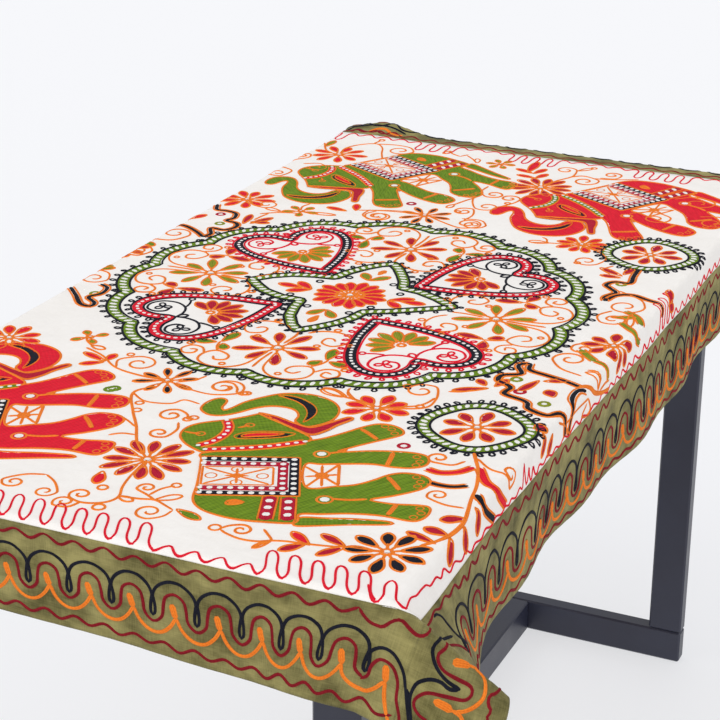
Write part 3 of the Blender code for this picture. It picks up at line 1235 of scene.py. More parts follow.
@dataclass(frozen=True)
class Medallion:
    """The round medallion: scalloped ring, four hearts, four flowers and a four-pointed star."""

    x: float = -0.0137
    y: float = -0.0168
    lobes: int = 16
    ring_radius: float = 0.2640
    ring_swell: float = 0.0150

    STAR = (
        (625, 400), (650, 427), (678, 470), (698, 505), (712, 545), (760, 552), (812, 577), (862, 610),
        (835, 632), (790, 664), (742, 698), (695, 722), (688, 768), (668, 812), (642, 850), (612, 885),
        (584, 858), (556, 812), (542, 762), (535, 714), (482, 712), (432, 692), (396, 662), (372, 638),
        (402, 600), (442, 570), (492, 552), (540, 545), (552, 500), (576, 452), (600, 420),
    )
    STAR_LEAVES = (
        (620, 530, 588, 488, Thread.LEAF), (622, 530, 656, 488, Thread.LEAF),
        (625, 492, 626, 446, Thread.ORANGE), (612, 745, 586, 786, Thread.LEAF),
        (616, 745, 650, 786, Thread.LEAF), (613, 778, 612, 832, Thread.ORANGE),
        (525, 640, 478, 605, Thread.RED), (525, 642, 478, 672, Thread.RED),
        (500, 638, 440, 635, Thread.RED), (715, 630, 765, 600, Thread.RED),
        (715, 635, 755, 667, Thread.RED), (740, 625, 800, 622, Thread.RED),
    )
    STAR_RINGS = (
        (683, 533), (722, 583), (668, 742), (697, 690), (565, 742), (497, 690), (520, 583), (570, 530),
    )
    HEART = (
        (893, 0), (1250, 310), (1550, 510), (1800, 635), (2050, 700), (2280, 670), (2445, 520), (2470, 320),
        (2380, 140), (2200, 0),
    )
    HEART_CURL = (
        (2120, 0), (2010, 100), (1940, 260), (1980, 440), (2120, 555), (2280, 530), (2360, 400),
        (2310, 270), (2190, 235), (2105, 320),
    )
    HEART_TAIL = (
        (1930, 270), (1860, 360), (1810, 470),
    )
    UPPER_SCROLL = (
        (1316, 105), (1200, 237), (1168, 447), (1263, 605), (1447, 632), (1579, 526), (1526, 379),
        (1395, 368), (1368, 447), (1430, 500),
    )
    CLOUD = (
        (2100, 60), (2447, 116), (2620, 280), (2640, 480), (2526, 650), (2342, 670), (2221, 568),
        (2289, 395), (2421, 368), (2463, 474), (2379, 537),
    )
    LOWER_SCROLL = (
        (2342, 670), (2211, 760), (2200, 900), (2330, 960), (2430, 880), (2390, 780), (2290, 790),
        (2310, 870),
    )
    SPRAY = (
        (1960, 650, 1640, 600), (2000, 700, 2060, 940), (2010, 610, 2170, 520),
    )
    STEMS = (((1320, 0), (1480, 15), (1720, 0)), ((2000, 0), (2250, -10), (2480, 0)))
    JOINT = ((2221, 568), (2100, 640), (1960, 670))
    RINGS = ((1105, 380, 40), (1640, 370, 36), (2145, 950, 38), (2540, 340, 34), (1480, 700, 34))

    def place(self, points: Points, degrees: float = 0.0) -> np.ndarray:
        """Points relative to the medallion's centre, on the flat cloth."""
        return turned(points, (self.x, self.y), degrees)

    def stroke(self, work: Needlework, points: np.ndarray, degrees: float, thread: Thread,
               width: float) -> None:
        """A chain through points relative to the medallion's centre."""
        work.chain(smooth(self.place(points, degrees), step=0.003), thread, width)

    def draw(self, work: Needlework) -> None:
        """Lay the whole medallion.

        Args:
            work: the cloth's needlework.
        """
        turn = np.linspace(0, 2 * np.pi, 640, endpoint=False)
        radius = self.ring_radius + self.ring_swell * np.abs(np.sin(self.lobes / 2 * turn)) ** 0.75
        ring = self.place(np.stack([radius * np.cos(turn), radius * np.sin(turn)], axis=1))
        ring = evenly(np.vstack([ring, ring[:1]]), 0.0033, True)
        LadderBand(0.0150, 0.0102, 0.0172, 0.0080).draw(work, ring)
        self.star(work)
        for degrees in (135, -45):
            self.heart(work, degrees, Thread.BLACK, Thread.RED, Thread.LEAF)
        for degrees in (45, -135):
            self.heart(work, degrees, Thread.RED, Thread.BLACK, Thread.CRIMSON)
        for degrees in (90, -90):
            self.bower(work, degrees, Thread.CRIMSON, Thread.GREEN)
        for degrees in (180, 0):
            self.bower(work, degrees, Thread.LEAF, Thread.CRIMSON)

    def star(self, work: Needlework) -> None:
        """Lay the four-pointed star with its flower and the sprigs in its points.

        Args:
            work: the cloth's needlework.
        """
        line = MIDDLE.at(self.STAR)
        line = evenly(np.vstack([line, line[:1]]), 0.0033, True)
        LadderBand(0.0132, 0.0096, 0.0165, 0.0070).draw(work, line)
        Flower(self.x + 0.0008, self.y + 0.0015, 0.045, 16, Thread.RED, 0.30, 90.0).draw(work)
        for x, y, tip_x, tip_y, thread in self.STAR_LEAVES:
            base, tip = MIDDLE.at([(x, y), (tip_x, tip_y)])
            draw_leaf(work, base, tip, 0.0120, thread)
        for place in MIDDLE.at(self.STAR_RINGS):
            work.ring(place, 0.0042, Thread.BLACK, 0.0026)

    def heart(self, work: Needlework, degrees: float, band: Thread, line: Thread, leaves: Thread) -> None:
        """Lay one heart whose point is towards the centre.

        Args:
            work: the cloth's needlework.
            degrees: the direction in which it lies.
            band: the thread of its dotted band.
            line: the thread of its outlines, loops and curls.
            leaves: the thread of its fan of leaves.
        """
        half = smooth(metres(self.HEART), step=0.004)
        other = (half * np.array([1.0, -1.0]))[::-1][1:-1]
        edge = anticlockwise(evenly(self.place(np.vstack([half, other, half[:1]]), degrees), 0.0033, True))
        work.band(edge, band, 0.0138, True, 0.0084, (0.0058, 0.0042))
        for offset in (0.0074, -0.0074):
            work.chain(beside(edge, offset, True), line, 0.0029, True, 0.0010)
        draw_loops(work, beside(edge, -0.0082, True), 0.0132, line, 0.0080)
        hub = np.array([0.171, 0.0])
        for k in range(8):
            angle = math.radians(-98 + 196 * k / 7)
            way = np.array([-math.cos(angle), math.sin(angle)])
            reach = 0.0450 - 0.006 * abs(math.sin(angle))
            base, tip = self.place([hub + way * 0.009, hub + way * reach], degrees)
            draw_leaf(work, base, tip, 0.0125, leaves)
        work.ring(self.place([hub], degrees)[0], 0.0045, Thread.ORANGE, 0.0040)
        for side in (1.0, -1.0):
            flip = np.array([1.0, side])
            self.stroke(work, metres(self.HEART_CURL) * flip, degrees, line, 0.0033)
            self.stroke(work, metres(self.HEART_TAIL) * flip, degrees, line, 0.0032)
            work.ring(self.place([np.array([0.179, 0.0495]) * flip], degrees)[0], 0.0038, line, 0.0028)
            knot = np.array([0.2175, 0.0385]) * flip
            for way in (20, 140, 260):
                step = np.array([math.cos(math.radians(way)), math.sin(math.radians(way))])
                base, tip = self.place([knot, knot + 0.0112 * step], degrees)
                work.chain(petal(base, tip, 0.0070), line, 0.0026, closed=True)
        base, tip = self.place([(0.2120, 0.0), (0.198, 0.0)], degrees)
        work.chain(petal(base, tip, 0.0080), line, 0.0032, closed=True)

    def bower(self, work: Needlework, degrees: float, thread: Thread, spray: Thread) -> None:
        """Lay one flower between two hearts, with its scrolls and sprays.

        Args:
            work: the cloth's needlework.
            degrees: the direction in which it lies.
            thread: the flower's thread.
            spray: the thread of the leaf sprays beside it.
        """
        centre = self.place([(0.1870, 0.0)], degrees)[0]
        Flower(centre[0], centre[1], 0.049, 8, thread, 0.235, degrees + 22.5).draw(work)
        for stem in metres(self.STEMS):
            work.chain(smooth(self.place(stem, degrees)), Thread.ORANGE, 0.0036)
        for side in (1.0, -1.0):
            flip = np.array([1.0, side])
            for path in (self.UPPER_SCROLL, self.CLOUD, self.LOWER_SCROLL):
                self.stroke(work, metres(path) * flip, degrees, Thread.ORANGE, 0.0031)
            for *spot, size in metres(self.RINGS):
                work.ring(self.place([np.array(spot) * flip], degrees)[0], size, Thread.ORANGE, 0.0028)
            for row in self.SPRAY:
                base, tip = self.place(metres(row).reshape(2, 2) * flip, degrees)
                draw_leaf(work, base, tip, 0.0125, spray)
            joint = self.place(metres(self.JOINT) * flip, degrees)
            work.chain(smooth(joint), Thread.ORANGE, 0.0031)


@dataclass(frozen=True)
class RoundMedallion:
    """A small ringed medallion with a flower inside."""

    x: float
    y: float
    radius: float = 0.053

    def draw(self, work: Needlework) -> None:
        """Lay the ring and the flower.

        Args:
            work: the cloth's needlework.
        """
        turn = np.linspace(0, 2 * np.pi, 100, endpoint=False)
        wobble = self.radius * (1 + 0.035 * np.sin(4 * turn + 0.7))
        line = np.stack([self.x + wobble * np.cos(turn), self.y + wobble * np.sin(turn)], axis=1)
        LadderBand(0.0130, 0.0088, 0.0115, 0.0080).draw(work, line)
        Flower(self.x, self.y, 0.039, 8, Thread.CRIMSON, 0.32, 90.0).draw(work)


@dataclass(frozen=True)
class Elephant:
    """A walking elephant with its trappings, drawn with its back to -x and its head to +y.

    The outlines are in units of DRAWING metres, y down the sheet, about the middle of its body.
    """

    x: float
    y: float
    body: Thread
    strap: Thread
    degrees: float = 0.0
    scale: float = 1.0
    mirror: bool = False

    DRAWING = 1 / 3800
    ORIGIN = (600.0, 720.0)
    BODY = (
        (250, 850), (275, 900), (330, 1020), (365, 1100), (400, 1190), (440, 1240), (500, 1270),
        (600, 1278), (700, 1258), (815, 1215), (800, 1150), (870, 1115), (960, 1070), (1060, 1040),
        (1165, 1035), (1197, 1010), (1205, 960), (1190, 910), (1150, 908), (1060, 938), (975, 942),
        (1035, 880), (1085, 820), (1112, 770), (1112, 715), (1080, 684), (1030, 680), (985, 695),
        (950, 730), (920, 790), (880, 850), (820, 895), (725, 945), (640, 780), (700, 745), (850, 672),
        (940, 660), (1003, 640), (1040, 600), (1036, 550), (1010, 518), (960, 514), (880, 535), (800, 570),
        (700, 625), (735, 560), (790, 480), (850, 395), (850, 355), (820, 328), (775, 317), (730, 330),
        (690, 380), (650, 455), (605, 530), (565, 575), (480, 650), (350, 770),
    )
    TAIL = (
        (812, 1172), (900, 1136), (1000, 1097), (1102, 1070), (1116, 1088), (1000, 1146), (900, 1200),
        (822, 1234),
    )
    RUMP_MARK = (
        (525, 1170), (545, 1148), (580, 1150), (575, 1165), (560, 1180), (535, 1190),
    )
    TRUNK = (
        (535, 425), (556, 370), (550, 300), (520, 240), (470, 200), (400, 180), (330, 188), (262, 222),
        (210, 285), (168, 360), (150, 430), (132, 462), (112, 440), (106, 400), (95, 370), (68, 362),
        (44, 388), (33, 435), (42, 485), (75, 516), (112, 526), (155, 508), (195, 460), (232, 395),
        (280, 350), (340, 335), (390, 350), (420, 390), (432, 440), (490, 470),
    )
    HEAD = (
        (285, 430), (240, 482), (190, 540), (130, 592), (92, 640), (82, 695), (100, 750), (150, 800),
        (215, 832), (255, 835), (350, 768), (450, 700), (545, 615), (560, 575), (540, 545), (440, 500),
        (340, 455),
    )
    TRUNK_STRIPE = (
        (260, 246), (300, 230), (352, 234), (402, 256), (442, 285), (470, 330), (477, 390), (465, 440),
        (455, 400), (438, 350), (402, 302), (352, 270), (300, 256),
    )
    TUSK_BAND = (
        (625, 332), (600, 325), (560, 400), (515, 470), (440, 462), (350, 435), (270, 432), (330, 462),
        (400, 485), (470, 512), (545, 530), (580, 470), (595, 410),
    )
    EYE = (
        (285, 665), (300, 630), (350, 590), (420, 560), (485, 548), (470, 585), (420, 625), (350, 665),
        (305, 680),
    )
    EYE_MIDDLE = (
        (310, 655), (330, 625), (380, 595), (450, 570), (420, 605), (370, 635), (325, 662),
    )
    BRACELETS = (((690, 400), (790, 465)), ((890, 545), (915, 660)), ((955, 745), (1040, 830)),
                 ((1075, 935), (1080, 1028)))
    TOES = ((765, 340), (800, 355), (825, 385), (985, 545), (1010, 577), (1010, 612), (1052, 705),
            (1080, 735), (1085, 772), (1162, 932), (1180, 965), (1168, 1005))
    LEG_BUTTONS = (((655, 670), (725, 595)), ((830, 1010), (965, 945)))
    HEAD_STRAPS = (((190, 548), (225, 595), (243, 645), (245, 700), (232, 755), (205, 800)),
                   ((245, 820), (350, 762), (450, 693), (552, 600)))
    HEAD_MARKS = (((292, 550), (262, 592)), ((160, 700), (95, 708)))
    LATTICE = ((645, 790), (752, 722), (822, 882), (722, 948))
    TAIL_STRAPS = (((645, 1066), (712, 1242)), ((708, 1048), (784, 1214)))
    SADDLE_BANDS = ((((0.03, 0.06), (0.94, 0.06), (0.94, 0.94), (0.02, 0.94)), Thread.BLACK, 0.0112),
                    (((0.03, 0.185), (0.83, 0.185), (0.83, 0.815), (0.02, 0.815)), Thread.CRIMSON, 0.0122))
    WINDOW = ((0.03, 0.27), (0.735, 0.27), (0.735, 0.73), (0.03, 0.73), (0.03, 0.27))
    WINDOW_RAYS = (((0.05, 0.29), (0.375, 0.50), (0.70, 0.71)), ((0.70, 0.29), (0.375, 0.50), (0.05, 0.71)),
                   ((0.375, 0.30), (0.375, 0.70)), ((0.25, 0.50), (0.50, 0.50)))
    WINDOW_RINGS = ((0.12, 0.50), (0.63, 0.50), (0.375, 0.33), (0.375, 0.67))

    def at(self, points: Points) -> np.ndarray:
        """Points of the drawing on the flat cloth."""
        local = (np.asarray(points, float) - np.array(self.ORIGIN)) * np.array([1.0, -1.0])
        return turned(local, (self.x, self.y), self.degrees, self.scale * self.DRAWING, self.mirror)

    def line(self, work: Needlework, points: Points, width: float, over: float) -> None:
        """A chain through points of the drawing."""
        work.chain(smooth(self.at(points)), Thread.ORANGE, width, over=over)

    def shape(self, work: Needlework, points: Points, thread: Thread, grain: float, over: float = 0.0,
              width: float = 0.0029) -> None:
        """A filled shape of the drawing with an orange chain round it.

        Args:
            work: the cloth's needlework.
            points: its outline on the drawing.
            thread: its colour.
            grain: the direction of its rows in degrees.
            over: the height of what it lies on.
            width: the chain's width.
        """
        edge = smooth(self.at(points), closed=True, step=0.003)
        work.fill(edge, thread, grain if not self.mirror else -grain, over=over)
        work.chain(edge, Thread.ORANGE, width, closed=True, over=over + 0.0001)

    def draw(self, work: Needlework) -> None:
        """Lay the whole animal.

        Args:
            work: the cloth's needlework.
        """
        self.body_and_legs(work)
        self.head(work)
        self.trappings(work)

    def body_and_legs(self, work: Needlework) -> None:
        """Lay the body, legs, feet and tail.

        Args:
            work: the cloth's needlework.
        """
        self.shape(work, self.BODY, self.body, 60.0)
        self.shape(work, self.TAIL, self.body, 25.0, width=0.0026)
        for start, end in self.BRACELETS:
            middle = ((start[0] + end[0]) / 2, (start[1] + end[1]) / 2 - 3)
            self.line(work, [start, middle, end], width=0.0056, over=0.0006)
        for toe in self.at(self.TOES):
            work.ring(toe, 0.0038, Thread.ORANGE, 0.0020)
        for hub, tail in self.LEG_BUTTONS:
            spot = self.at([hub])[0]
            work.ring(spot, 0.0076, Thread.ORANGE, 0.0036)
            work.dot(spot, 0.0096, 0.0096, 0.0, Thread.WHITE)
            stem = [(hub[0] + 20, hub[1] - 15), ((hub[0] + tail[0]) / 2 + 12, (hub[1] + tail[1]) / 2), tail]
            self.line(work, stem, width=0.0036, over=0.0006)
        self.shape(work, self.RUMP_MARK, Thread.ORANGE, 0.0, over=0.0005)

    def head(self, work: Needlework) -> None:
        """Lay the trunk, head, eye, tusk band and head straps.

        Args:
            work: the cloth's needlework.
        """
        self.shape(work, self.TRUNK, self.body, 40.0)
        self.shape(work, self.HEAD, self.body, 35.0, over=0.0001)
        self.shape(work, self.TRUNK_STRIPE, Thread.BLACK, 60.0, over=0.0005, width=0.0013)
        self.shape(work, self.TUSK_BAND, Thread.CRIMSON, 20.0, over=0.0005)
        self.shape(work, self.EYE, Thread.BLACK, 33.0, over=0.0004, width=0.0014)
        self.shape(work, self.EYE_MIDDLE, Thread.RED, 33.0, over=0.001, width=0.0015)
        for points in self.HEAD_STRAPS:
            band = smooth(self.at(points))
            work.band(band, self.strap, 0.0092, False, 0.0088, (0.0054, 0.0046), over=0.0006)
            for offset in (0.0050, -0.0050):
                work.chain(beside(band, offset, False), Thread.ORANGE, 0.0022, over=0.0006)
        for hub, tail in self.HEAD_MARKS:
            work.ring(self.at([hub])[0], 0.0046, Thread.ORANGE, 0.0036)
            stem = [hub, ((hub[0] + tail[0]) / 2, (hub[1] + tail[1]) / 2 + 5), tail]
            self.line(work, stem, width=0.0034, over=0.0006)

    def trappings(self, work: Needlework) -> None:
        """Lay the saddle cloth, belly lattice and tail straps.

        Args:
            work: the cloth's needlework.
        """
        corner, along, down = (np.array(v, float) for v in ((262, 878), (337, -144), (140, 292)))

        def on_saddle(points: tuple) -> np.ndarray:
            """Points given as shares of the saddle cloth."""
            return self.at([corner + u * along + v * down for u, v in points])

        edge = on_saddle(((0, 0), (1, 0), (1, 1), (0, 1), (0, 0)))
        work.fill(evenly(edge, 0.004, True), Thread.WHITE, 0.0, high=0.0004, over=0.0003)
        for run, thread, width in self.SADDLE_BANDS:
            corners = on_saddle(run)
            for start, end in zip(corners, corners[1:]):
                side = evenly(np.array([start, end]), 0.0035)
                work.band(side, thread, width, False, 0.0100, (0.0062, 0.0060), over=0.0005)
            for point in corners[1:3]:
                work.dot(point, width, width, 0.0, thread, 0.0007)
        work.chain(evenly(edge, 0.0035, True), Thread.ORANGE, 0.0023, True, over=0.0005)
        work.chain(evenly(on_saddle(self.WINDOW), 0.0035, True), Thread.ORANGE, 0.0030, True, over=0.0003)
        for ray in self.WINDOW_RAYS:
            work.chain(evenly(on_saddle(ray), 0.003), Thread.ORANGE, 0.0036, over=0.0003)
        for spot in on_saddle(self.WINDOW_RINGS):
            work.ring(spot, 0.0056, Thread.ORANGE, 0.0032)
        work.ring(on_saddle(((0.375, 0.50),))[0], 0.0040, Thread.ORANGE, 0.0066)
        lattice = np.array(self.LATTICE, float)
        hub = lattice.mean(axis=0)
        for k in range(4):
            middle = (lattice[k] + lattice[(k + 1) % 4]) / 2
            for end in (lattice[k], middle):
                self.line(work, [hub, (hub + end) / 2, end], width=0.0032, over=0.0)
        work.ring(self.at([hub])[0], 0.0048, Thread.ORANGE, 0.0056)
        self.line(work, [lattice[1], (lattice[1] + lattice[2]) / 2, lattice[2]], width=0.0036, over=0.0)
        for top, bottom in np.array(self.TAIL_STRAPS):
            strap = evenly(self.at([top, bottom]), 0.0035)
            work.chain(strap, Thread.CRIMSON, 0.0150, over=0.0004)
            for share in (0.22, 0.50, 0.78):
                spot = self.at([top + share * (bottom - top)])[0]
                work.dot(spot, 0.0088, 0.0120, self.degrees + 20.0, Thread.WHITE, 0.0009)
            for offset in (0.0072, -0.0072):
                work.chain(beside(strap, offset, False), Thread.ORANGE, 0.0020, over=0.0006)


# The points in the tables below were picked on the photograph and carried to the flat cloth

# Single flowers on the ground: x, y, radius, petals, thread, petal width over radius
FLOWERS = (
    (0.155, -0.311, 0.036, 8, Thread.RED, 0.36),
    (0.005, -0.519, 0.046, 12, Thread.CRIMSON, 0.24),
    (0.293, -0.596, 0.040, 9, Thread.BLACK, 0.30),
    (-0.301, 0.270, 0.039, 9, Thread.RED, 0.30),
    (-0.211, 0.254, 0.025, 5, Thread.LEAF, 0.36),
    (-0.053, 0.308, 0.036, 8, Thread.BLACK, 0.22),
    (0.176, 0.283, 0.034, 9, Thread.RED, 0.32),
    (-0.077, -0.338, 0.036, 8, Thread.BLACK, 0.22),
    (-0.219, -0.264, 0.022, 4, Thread.LEAF, 0.40),
    (0.044, 0.496, 0.046, 12, Thread.CRIMSON, 0.24),
    (-0.282, 0.525, 0.042, 9, Thread.RED, 0.26),
    (-0.048, 0.580, 0.023, 6, Thread.LEAF, 0.34),
    (-0.300, -0.305, 0.038, 9, Thread.RED, 0.32),
    (-0.330, -0.560, 0.040, 10, Thread.CRIMSON, 0.28),
    (0.322, -0.039, 0.036, 8, Thread.CRIMSON, 0.34),
    (-0.345, 0.020, 0.034, 8, Thread.CRIMSON, 0.32),
)
# Leaves on the ground: thread, width, then base x and y and tip x and y of each
LEAVES = (
    (Thread.GREEN, 110, ((840, -6010, 1140, -6110),)), (Thread.RED, 100, ((2250, -6130, 2000, -5960),)),
    (Thread.CRIMSON, 100, ((2550, -6020, 2260, -5890),)),
    (Thread.CRIMSON, 110, ((2210, -6130, 2050, -6340),)),
    (Thread.CRIMSON, 100, ((2560, -6020, 2390, -6280),)),
    (Thread.CRIMSON, 90, ((3250, -5630, 2930, -5520),)),
    (Thread.CRIMSON, 140, ((3310, -5058, 3112, -5183),)),
    (Thread.CRIMSON, 120, ((3290, -5440, 3040, -5380), (3300, -4790, 3556, -4865),
     (3330, -5150, 3587, -5206), (3320, -5440, 3511, -5663))),
    (Thread.CRIMSON, 110, ((3384, -2750, 3597, -2845),)),
    (Thread.CRIMSON, 100, ((3300, -2950, 3520, -3060),)),
    (Thread.CRIMSON, 140, ((3180, -2770, 3290, -2930), (3101, -2052, 2980, -1900))),
    (Thread.RED, 120, ((-200, -5600, -120, -5860),)),
    (Thread.RED, 100, ((-1560, 2810, -1870, 2860), (-1450, 2880, -1560, 3150))),
    (Thread.CRIMSON, 100, ((-2560, 1730, -2640, 2120), (-2480, 1780, -2320, 2120),
     (-2500, 1840, -2260, 1900), (2600, 1880, 2260, 2070), (2600, 1940, 2650, 2200),
     (2600, 1810, 2340, 1810), (2810, -1690, 2710, -2060), (2860, -1690, 3100, -1560),
     (2390, -2120, 2070, -2330), (2340, -2060, 2210, -1930), (2440, -2040, 2500, -1800))),
    (Thread.RED, 100, ((-1660, -3220, -1870, -3380), (-1660, -3170, -1660, -2960))),
    (Thread.RED, 90, ((-1660, -3190, -2010, -3060),)), (Thread.GREEN, 110, ((-3350, 570, -3160, 410),)),
    (Thread.GREEN, 100, ((-3350, -640, -3160, -510),)), (Thread.LEAF, 100, ((2920, 460, 3180, 570),)),
    (Thread.RED, 130, ((20, 5590, -20, 6140),)),
    (Thread.RED, 100, ((100, 5560, -190, 5690), (120, 5550, 210, 5850), (210, 5350, -80, 5410),
     (220, 5350, 310, 5620))),
    (Thread.LEAF, 100, ((-3190, 5560, -3190, 5910),)),
    (Thread.CRIMSON, 110, ((3380, 1400, 3260, 1650), (3380, 1400, 3520, 1620))),
    (Thread.RED, 110, ((-3300, 1600, -3450, 1850), (-3300, 1600, -3180, 1860))),
)
# Long leaves between two orange lines: width, thread, points
SASHES = (
    (80, Thread.RED, ((3025, -3994), (3284, -4318), (3607, -4064))),
    (75, Thread.BLACK, ((3216, -4553), (3366, -4654), (3615, -4371))),
    (80, Thread.RED, ((2575, -4230), (2729, -4258), (2882, -4172), (2978, -4007))),
    (70, Thread.BLACK, ((2700, -4500), (2836, -4515), (2964, -4493), (3081, -4411))),
    (85, Thread.LEAF, ((2923, -648), (3050, -790), (3168, -905))),
    (50, Thread.LEAF, ((3168, -905), (3330, -960), (3480, -920))),
    (70, Thread.LEAF, ((3060, 350), (3338, 108), (3461, 229))),
    (70, Thread.LEAF, ((3000, 720), (3180, 600), (3300, 400))),
    (70, Thread.LEAF, ((-3220, -450), (-3380, -620), (-3500, -850))),
)
# Curling plumes: a black band between two orange lines
PLUMES = (
    ((-3270, 2330), (-3160, 2120), (-3010, 2120), (-2850, 2070), (-2780, 1880), (-2820, 1750),
     (-2640, 1700), (-2580, 1540), (-2660, 1380), (-2850, 1380), (-2740, 1170), (-2770, 1020)),
    ((-2770, 1020), (-2950, 1170), (-3190, 1310), (-3400, 1330)),
    ((-3010, -1090), (-2870, -1170), (-2830, -1380), (-2900, -1540), (-2740, -1670), (-2720, -1800),
     (-2870, -1770), (-3080, -1540), (-3290, -1330)),
    ((2562, -1267), (2620, -1450), (2830, -1520), (3070, -1590), (3280, -1680)),
    ((2562, -1267), (2460, -1379), (2570, -1590), (2400, -1720), (2420, -1873), (2598, -1988),
     (2600, -2180), (2882, -2288), (2966, -2446), (3198, -2532), (3310, -2393), (3604, -2297)),
    ((3328, -1656), (3265, -1806), (3304, -2054), (3474, -2166), (3630, -2185)),
    ((2710, 2200), (2730, 1940), (2760, 1670), (2580, 1640), (2520, 1500), (2630, 1380), (2710, 1280),
     (2640, 1090), (2680, 960)),
    ((2680, 960), (2740, 1180), (2920, 1280), (3180, 1180), (3450, 1120)),
)
# Round eyelets beside the plumes and loose on the ground: x, y, thread
EYELETS = (
    (-3020, 1960, Thread.CRIMSON), (-2840, 1600, Thread.LEAF), (2680, 1600, Thread.LEAF),
    (2580, -1760, Thread.LEAF), (2730, -2060, Thread.CRIMSON), (3070, -2260, Thread.LEAF),
    (-2900, -1400, Thread.LEAF), (2170, -3840, Thread.CRIMSON), (-900, 3490, Thread.CRIMSON),
    (-1170, -3800, Thread.GREEN), (-1200, -3840, Thread.GREEN),
)
# Stems on the drawings, each with the middle of its curl or None
MIDDLE_VINES = (
    (((985, 80), (1040, 110), (1068, 150), (1063, 190)), (1030, 182)),
    (((940, 1195), (1020, 1160), (1028, 1110), (1010, 1055)), (985, 1080)),
    (((1165, 350), (1225, 385), (1248, 425)), (1208, 443)),
    (((1250, 870), (1200, 850), (1168, 812)), (1200, 792)), (((5, 480), (60, 470), (82, 430)), (45, 418)),
    (((5, 730), (50, 742), (72, 780)), (38, 785)),
    (((255, 1165), (310, 1190), (370, 1235), (440, 1250), (500, 1250)), None),
    (((368, 1232), (352, 1195), (378, 1165)), (402, 1195)),
    (((500, 1250), (560, 1270), (615, 1275), (658, 1250)), (622, 1230)),
    (((520, 1250), (548, 1225), (560, 1195)), None), (((375, 55), (430, 35), (500, 22), (548, 20)), None),
    (((420, 40), (405, 75), (420, 105)), (443, 78)),
    (((560, 25), (610, 55), (665, 78), (700, 55)), (670, 38)),
    (((860, 110), (905, 95), (950, 85), (985, 78)), None), (((900, 95), (890, 70), (875, 60)), None),
    (((860, 1172), (895, 1182), (940, 1195)), None), (((850, 1135), (862, 1162), (892, 1180)), None),
    (((245, 130), (232, 90), (240, 60)), None), (((245, 145), (200, 160), (160, 190)), None),
    (((170, 240), (175, 200), (180, 180)), None), (((1035, 1060), (1060, 1050), (1080, 1030)), None),
    (((215, 1100), (235, 1130), (260, 1150)), None), (((1100, 190), (1085, 225), (1110, 250)), None),
    (((72, 90), (110, 130), (150, 140)), (140, 112)), (((25, 520), (60, 560), (50, 600)), (28, 575)),
    (((1190, 480), (1170, 520), (1185, 555)), (1208, 530)),
    (((1254, 700), (1215, 680), (1190, 700)), (1205, 725)),
)
NEAR_VINES = (
    (((95, 990), (110, 1130), (130, 1220), (158, 1290), (150, 1340), (112, 1375), (62, 1390), (15, 1378)),
     (28, 1335)),
    (((158, 1290), (230, 1280), (290, 1265), (350, 1290), (387, 1308)), None),
    (((290, 1265), (240, 1238), (188, 1215)), (214, 1190)),
    (((387, 1310), (380, 1362), (345, 1400)), (318, 1352)),
    (((250, 1238), (262, 1185), (280, 1155), (296, 1136)), None),
    (((605, 1366), (640, 1385), (700, 1400), (760, 1392), (800, 1368), (850, 1350), (910, 1340),
     (1000, 1320), (1060, 1300), (1120, 1290), (1185, 1276)), None),
    (((604, 1360), (618, 1332), (645, 1310)), (672, 1340)),
    (((740, 1302), (770, 1330), (800, 1365), (782, 1402), (768, 1440)), None),
    (((500, 147), (560, 150), (605, 165), (660, 190)), None),
    (((485, 50), (490, 85), (525, 125), (552, 149)), None),
    (((830, 0), (822, 55), (800, 100), (760, 130), (710, 165), (670, 190)), None),
    (((1160, 500), (1130, 550), (1075, 556)), (1060, 512)),
    (((1192, 459), (1277, 528), (1380, 530)), (1345, 502)),
    (((1300, 862), (1230, 866), (1158, 842)), (1178, 805)),
    (((122, 283), (95, 283), (75, 245), (42, 212)), (18, 262)),
    (((62, 578), (45, 598), (25, 560), (-20, 535)), (-30, 590)),
    (((30, 640), (58, 700), (55, 770)), (12, 755)), (((60, 1390), (40, 1440), (-10, 1450)), (5, 1410)),
    (((-170, 1250), (-240, 1280), (-290, 1340)), (-245, 1350)),
    (((-170, 1250), (-110, 1290), (-60, 1350)), (-100, 1370)),
)
FAR_VINES = (
    (((110, 290), (100, 230), (120, 180), (160, 150), (192, 180), (215, 235), (242, 290)), None),
    (((165, 150), (215, 138), (262, 145), (288, 178)), (250, 185)), (((152, 150), (158, 118)), None),
    (((380, 125), (395, 150), (425, 167)), None), (((425, 167), (440, 140)), None),
    (((440, 150), (468, 178), (490, 208)), None),
    (((735, 345), (745, 280), (772, 220), (768, 165)), (738, 168)),
    (((768, 225), (800, 200), (846, 220)), (818, 245)), (((830, 212), (880, 200), (945, 168)), None),
    (((845, 200), (885, 190), (893, 158)), (868, 160)),
    (((560, 520), (605, 503), (592, 545), (578, 590)), None),
    (((600, 505), (612, 545), (635, 590)), (662, 570)), (((690, 560), (712, 515), (718, 480)), (690, 478)),
    (((600, 400), (600, 450), (622, 485)), (640, 462)), (((650, 700), (655, 655), (640, 608)), (622, 632)),
    (((640, 690), (690, 685), (715, 715)), (685, 725)),
    (((540, 700), (480, 700), (430, 715), (385, 735)), None),
    (((400, 722), (400, 768), (430, 792)), (436, 762)), (((20, 470), (62, 495), (58, 545)), (35, 528)),
    (((110, 300), (60, 270), (20, 200)), None), (((15, 400), (45, 360), (40, 330)), (22, 345)),
    (((60, 420), (100, 400), (130, 420)), (110, 440)),
    (((1010, 470), (1060, 430), (1110, 450)), (1085, 480)),
    (((1080, 300), (1130, 260), (1180, 280)), (1150, 310)),
    (((1200, 150), (1250, 170), (1260, 220)), (1225, 210)),
    (((1180, 420), (1230, 400), (1260, 440)), (1225, 455)),
)
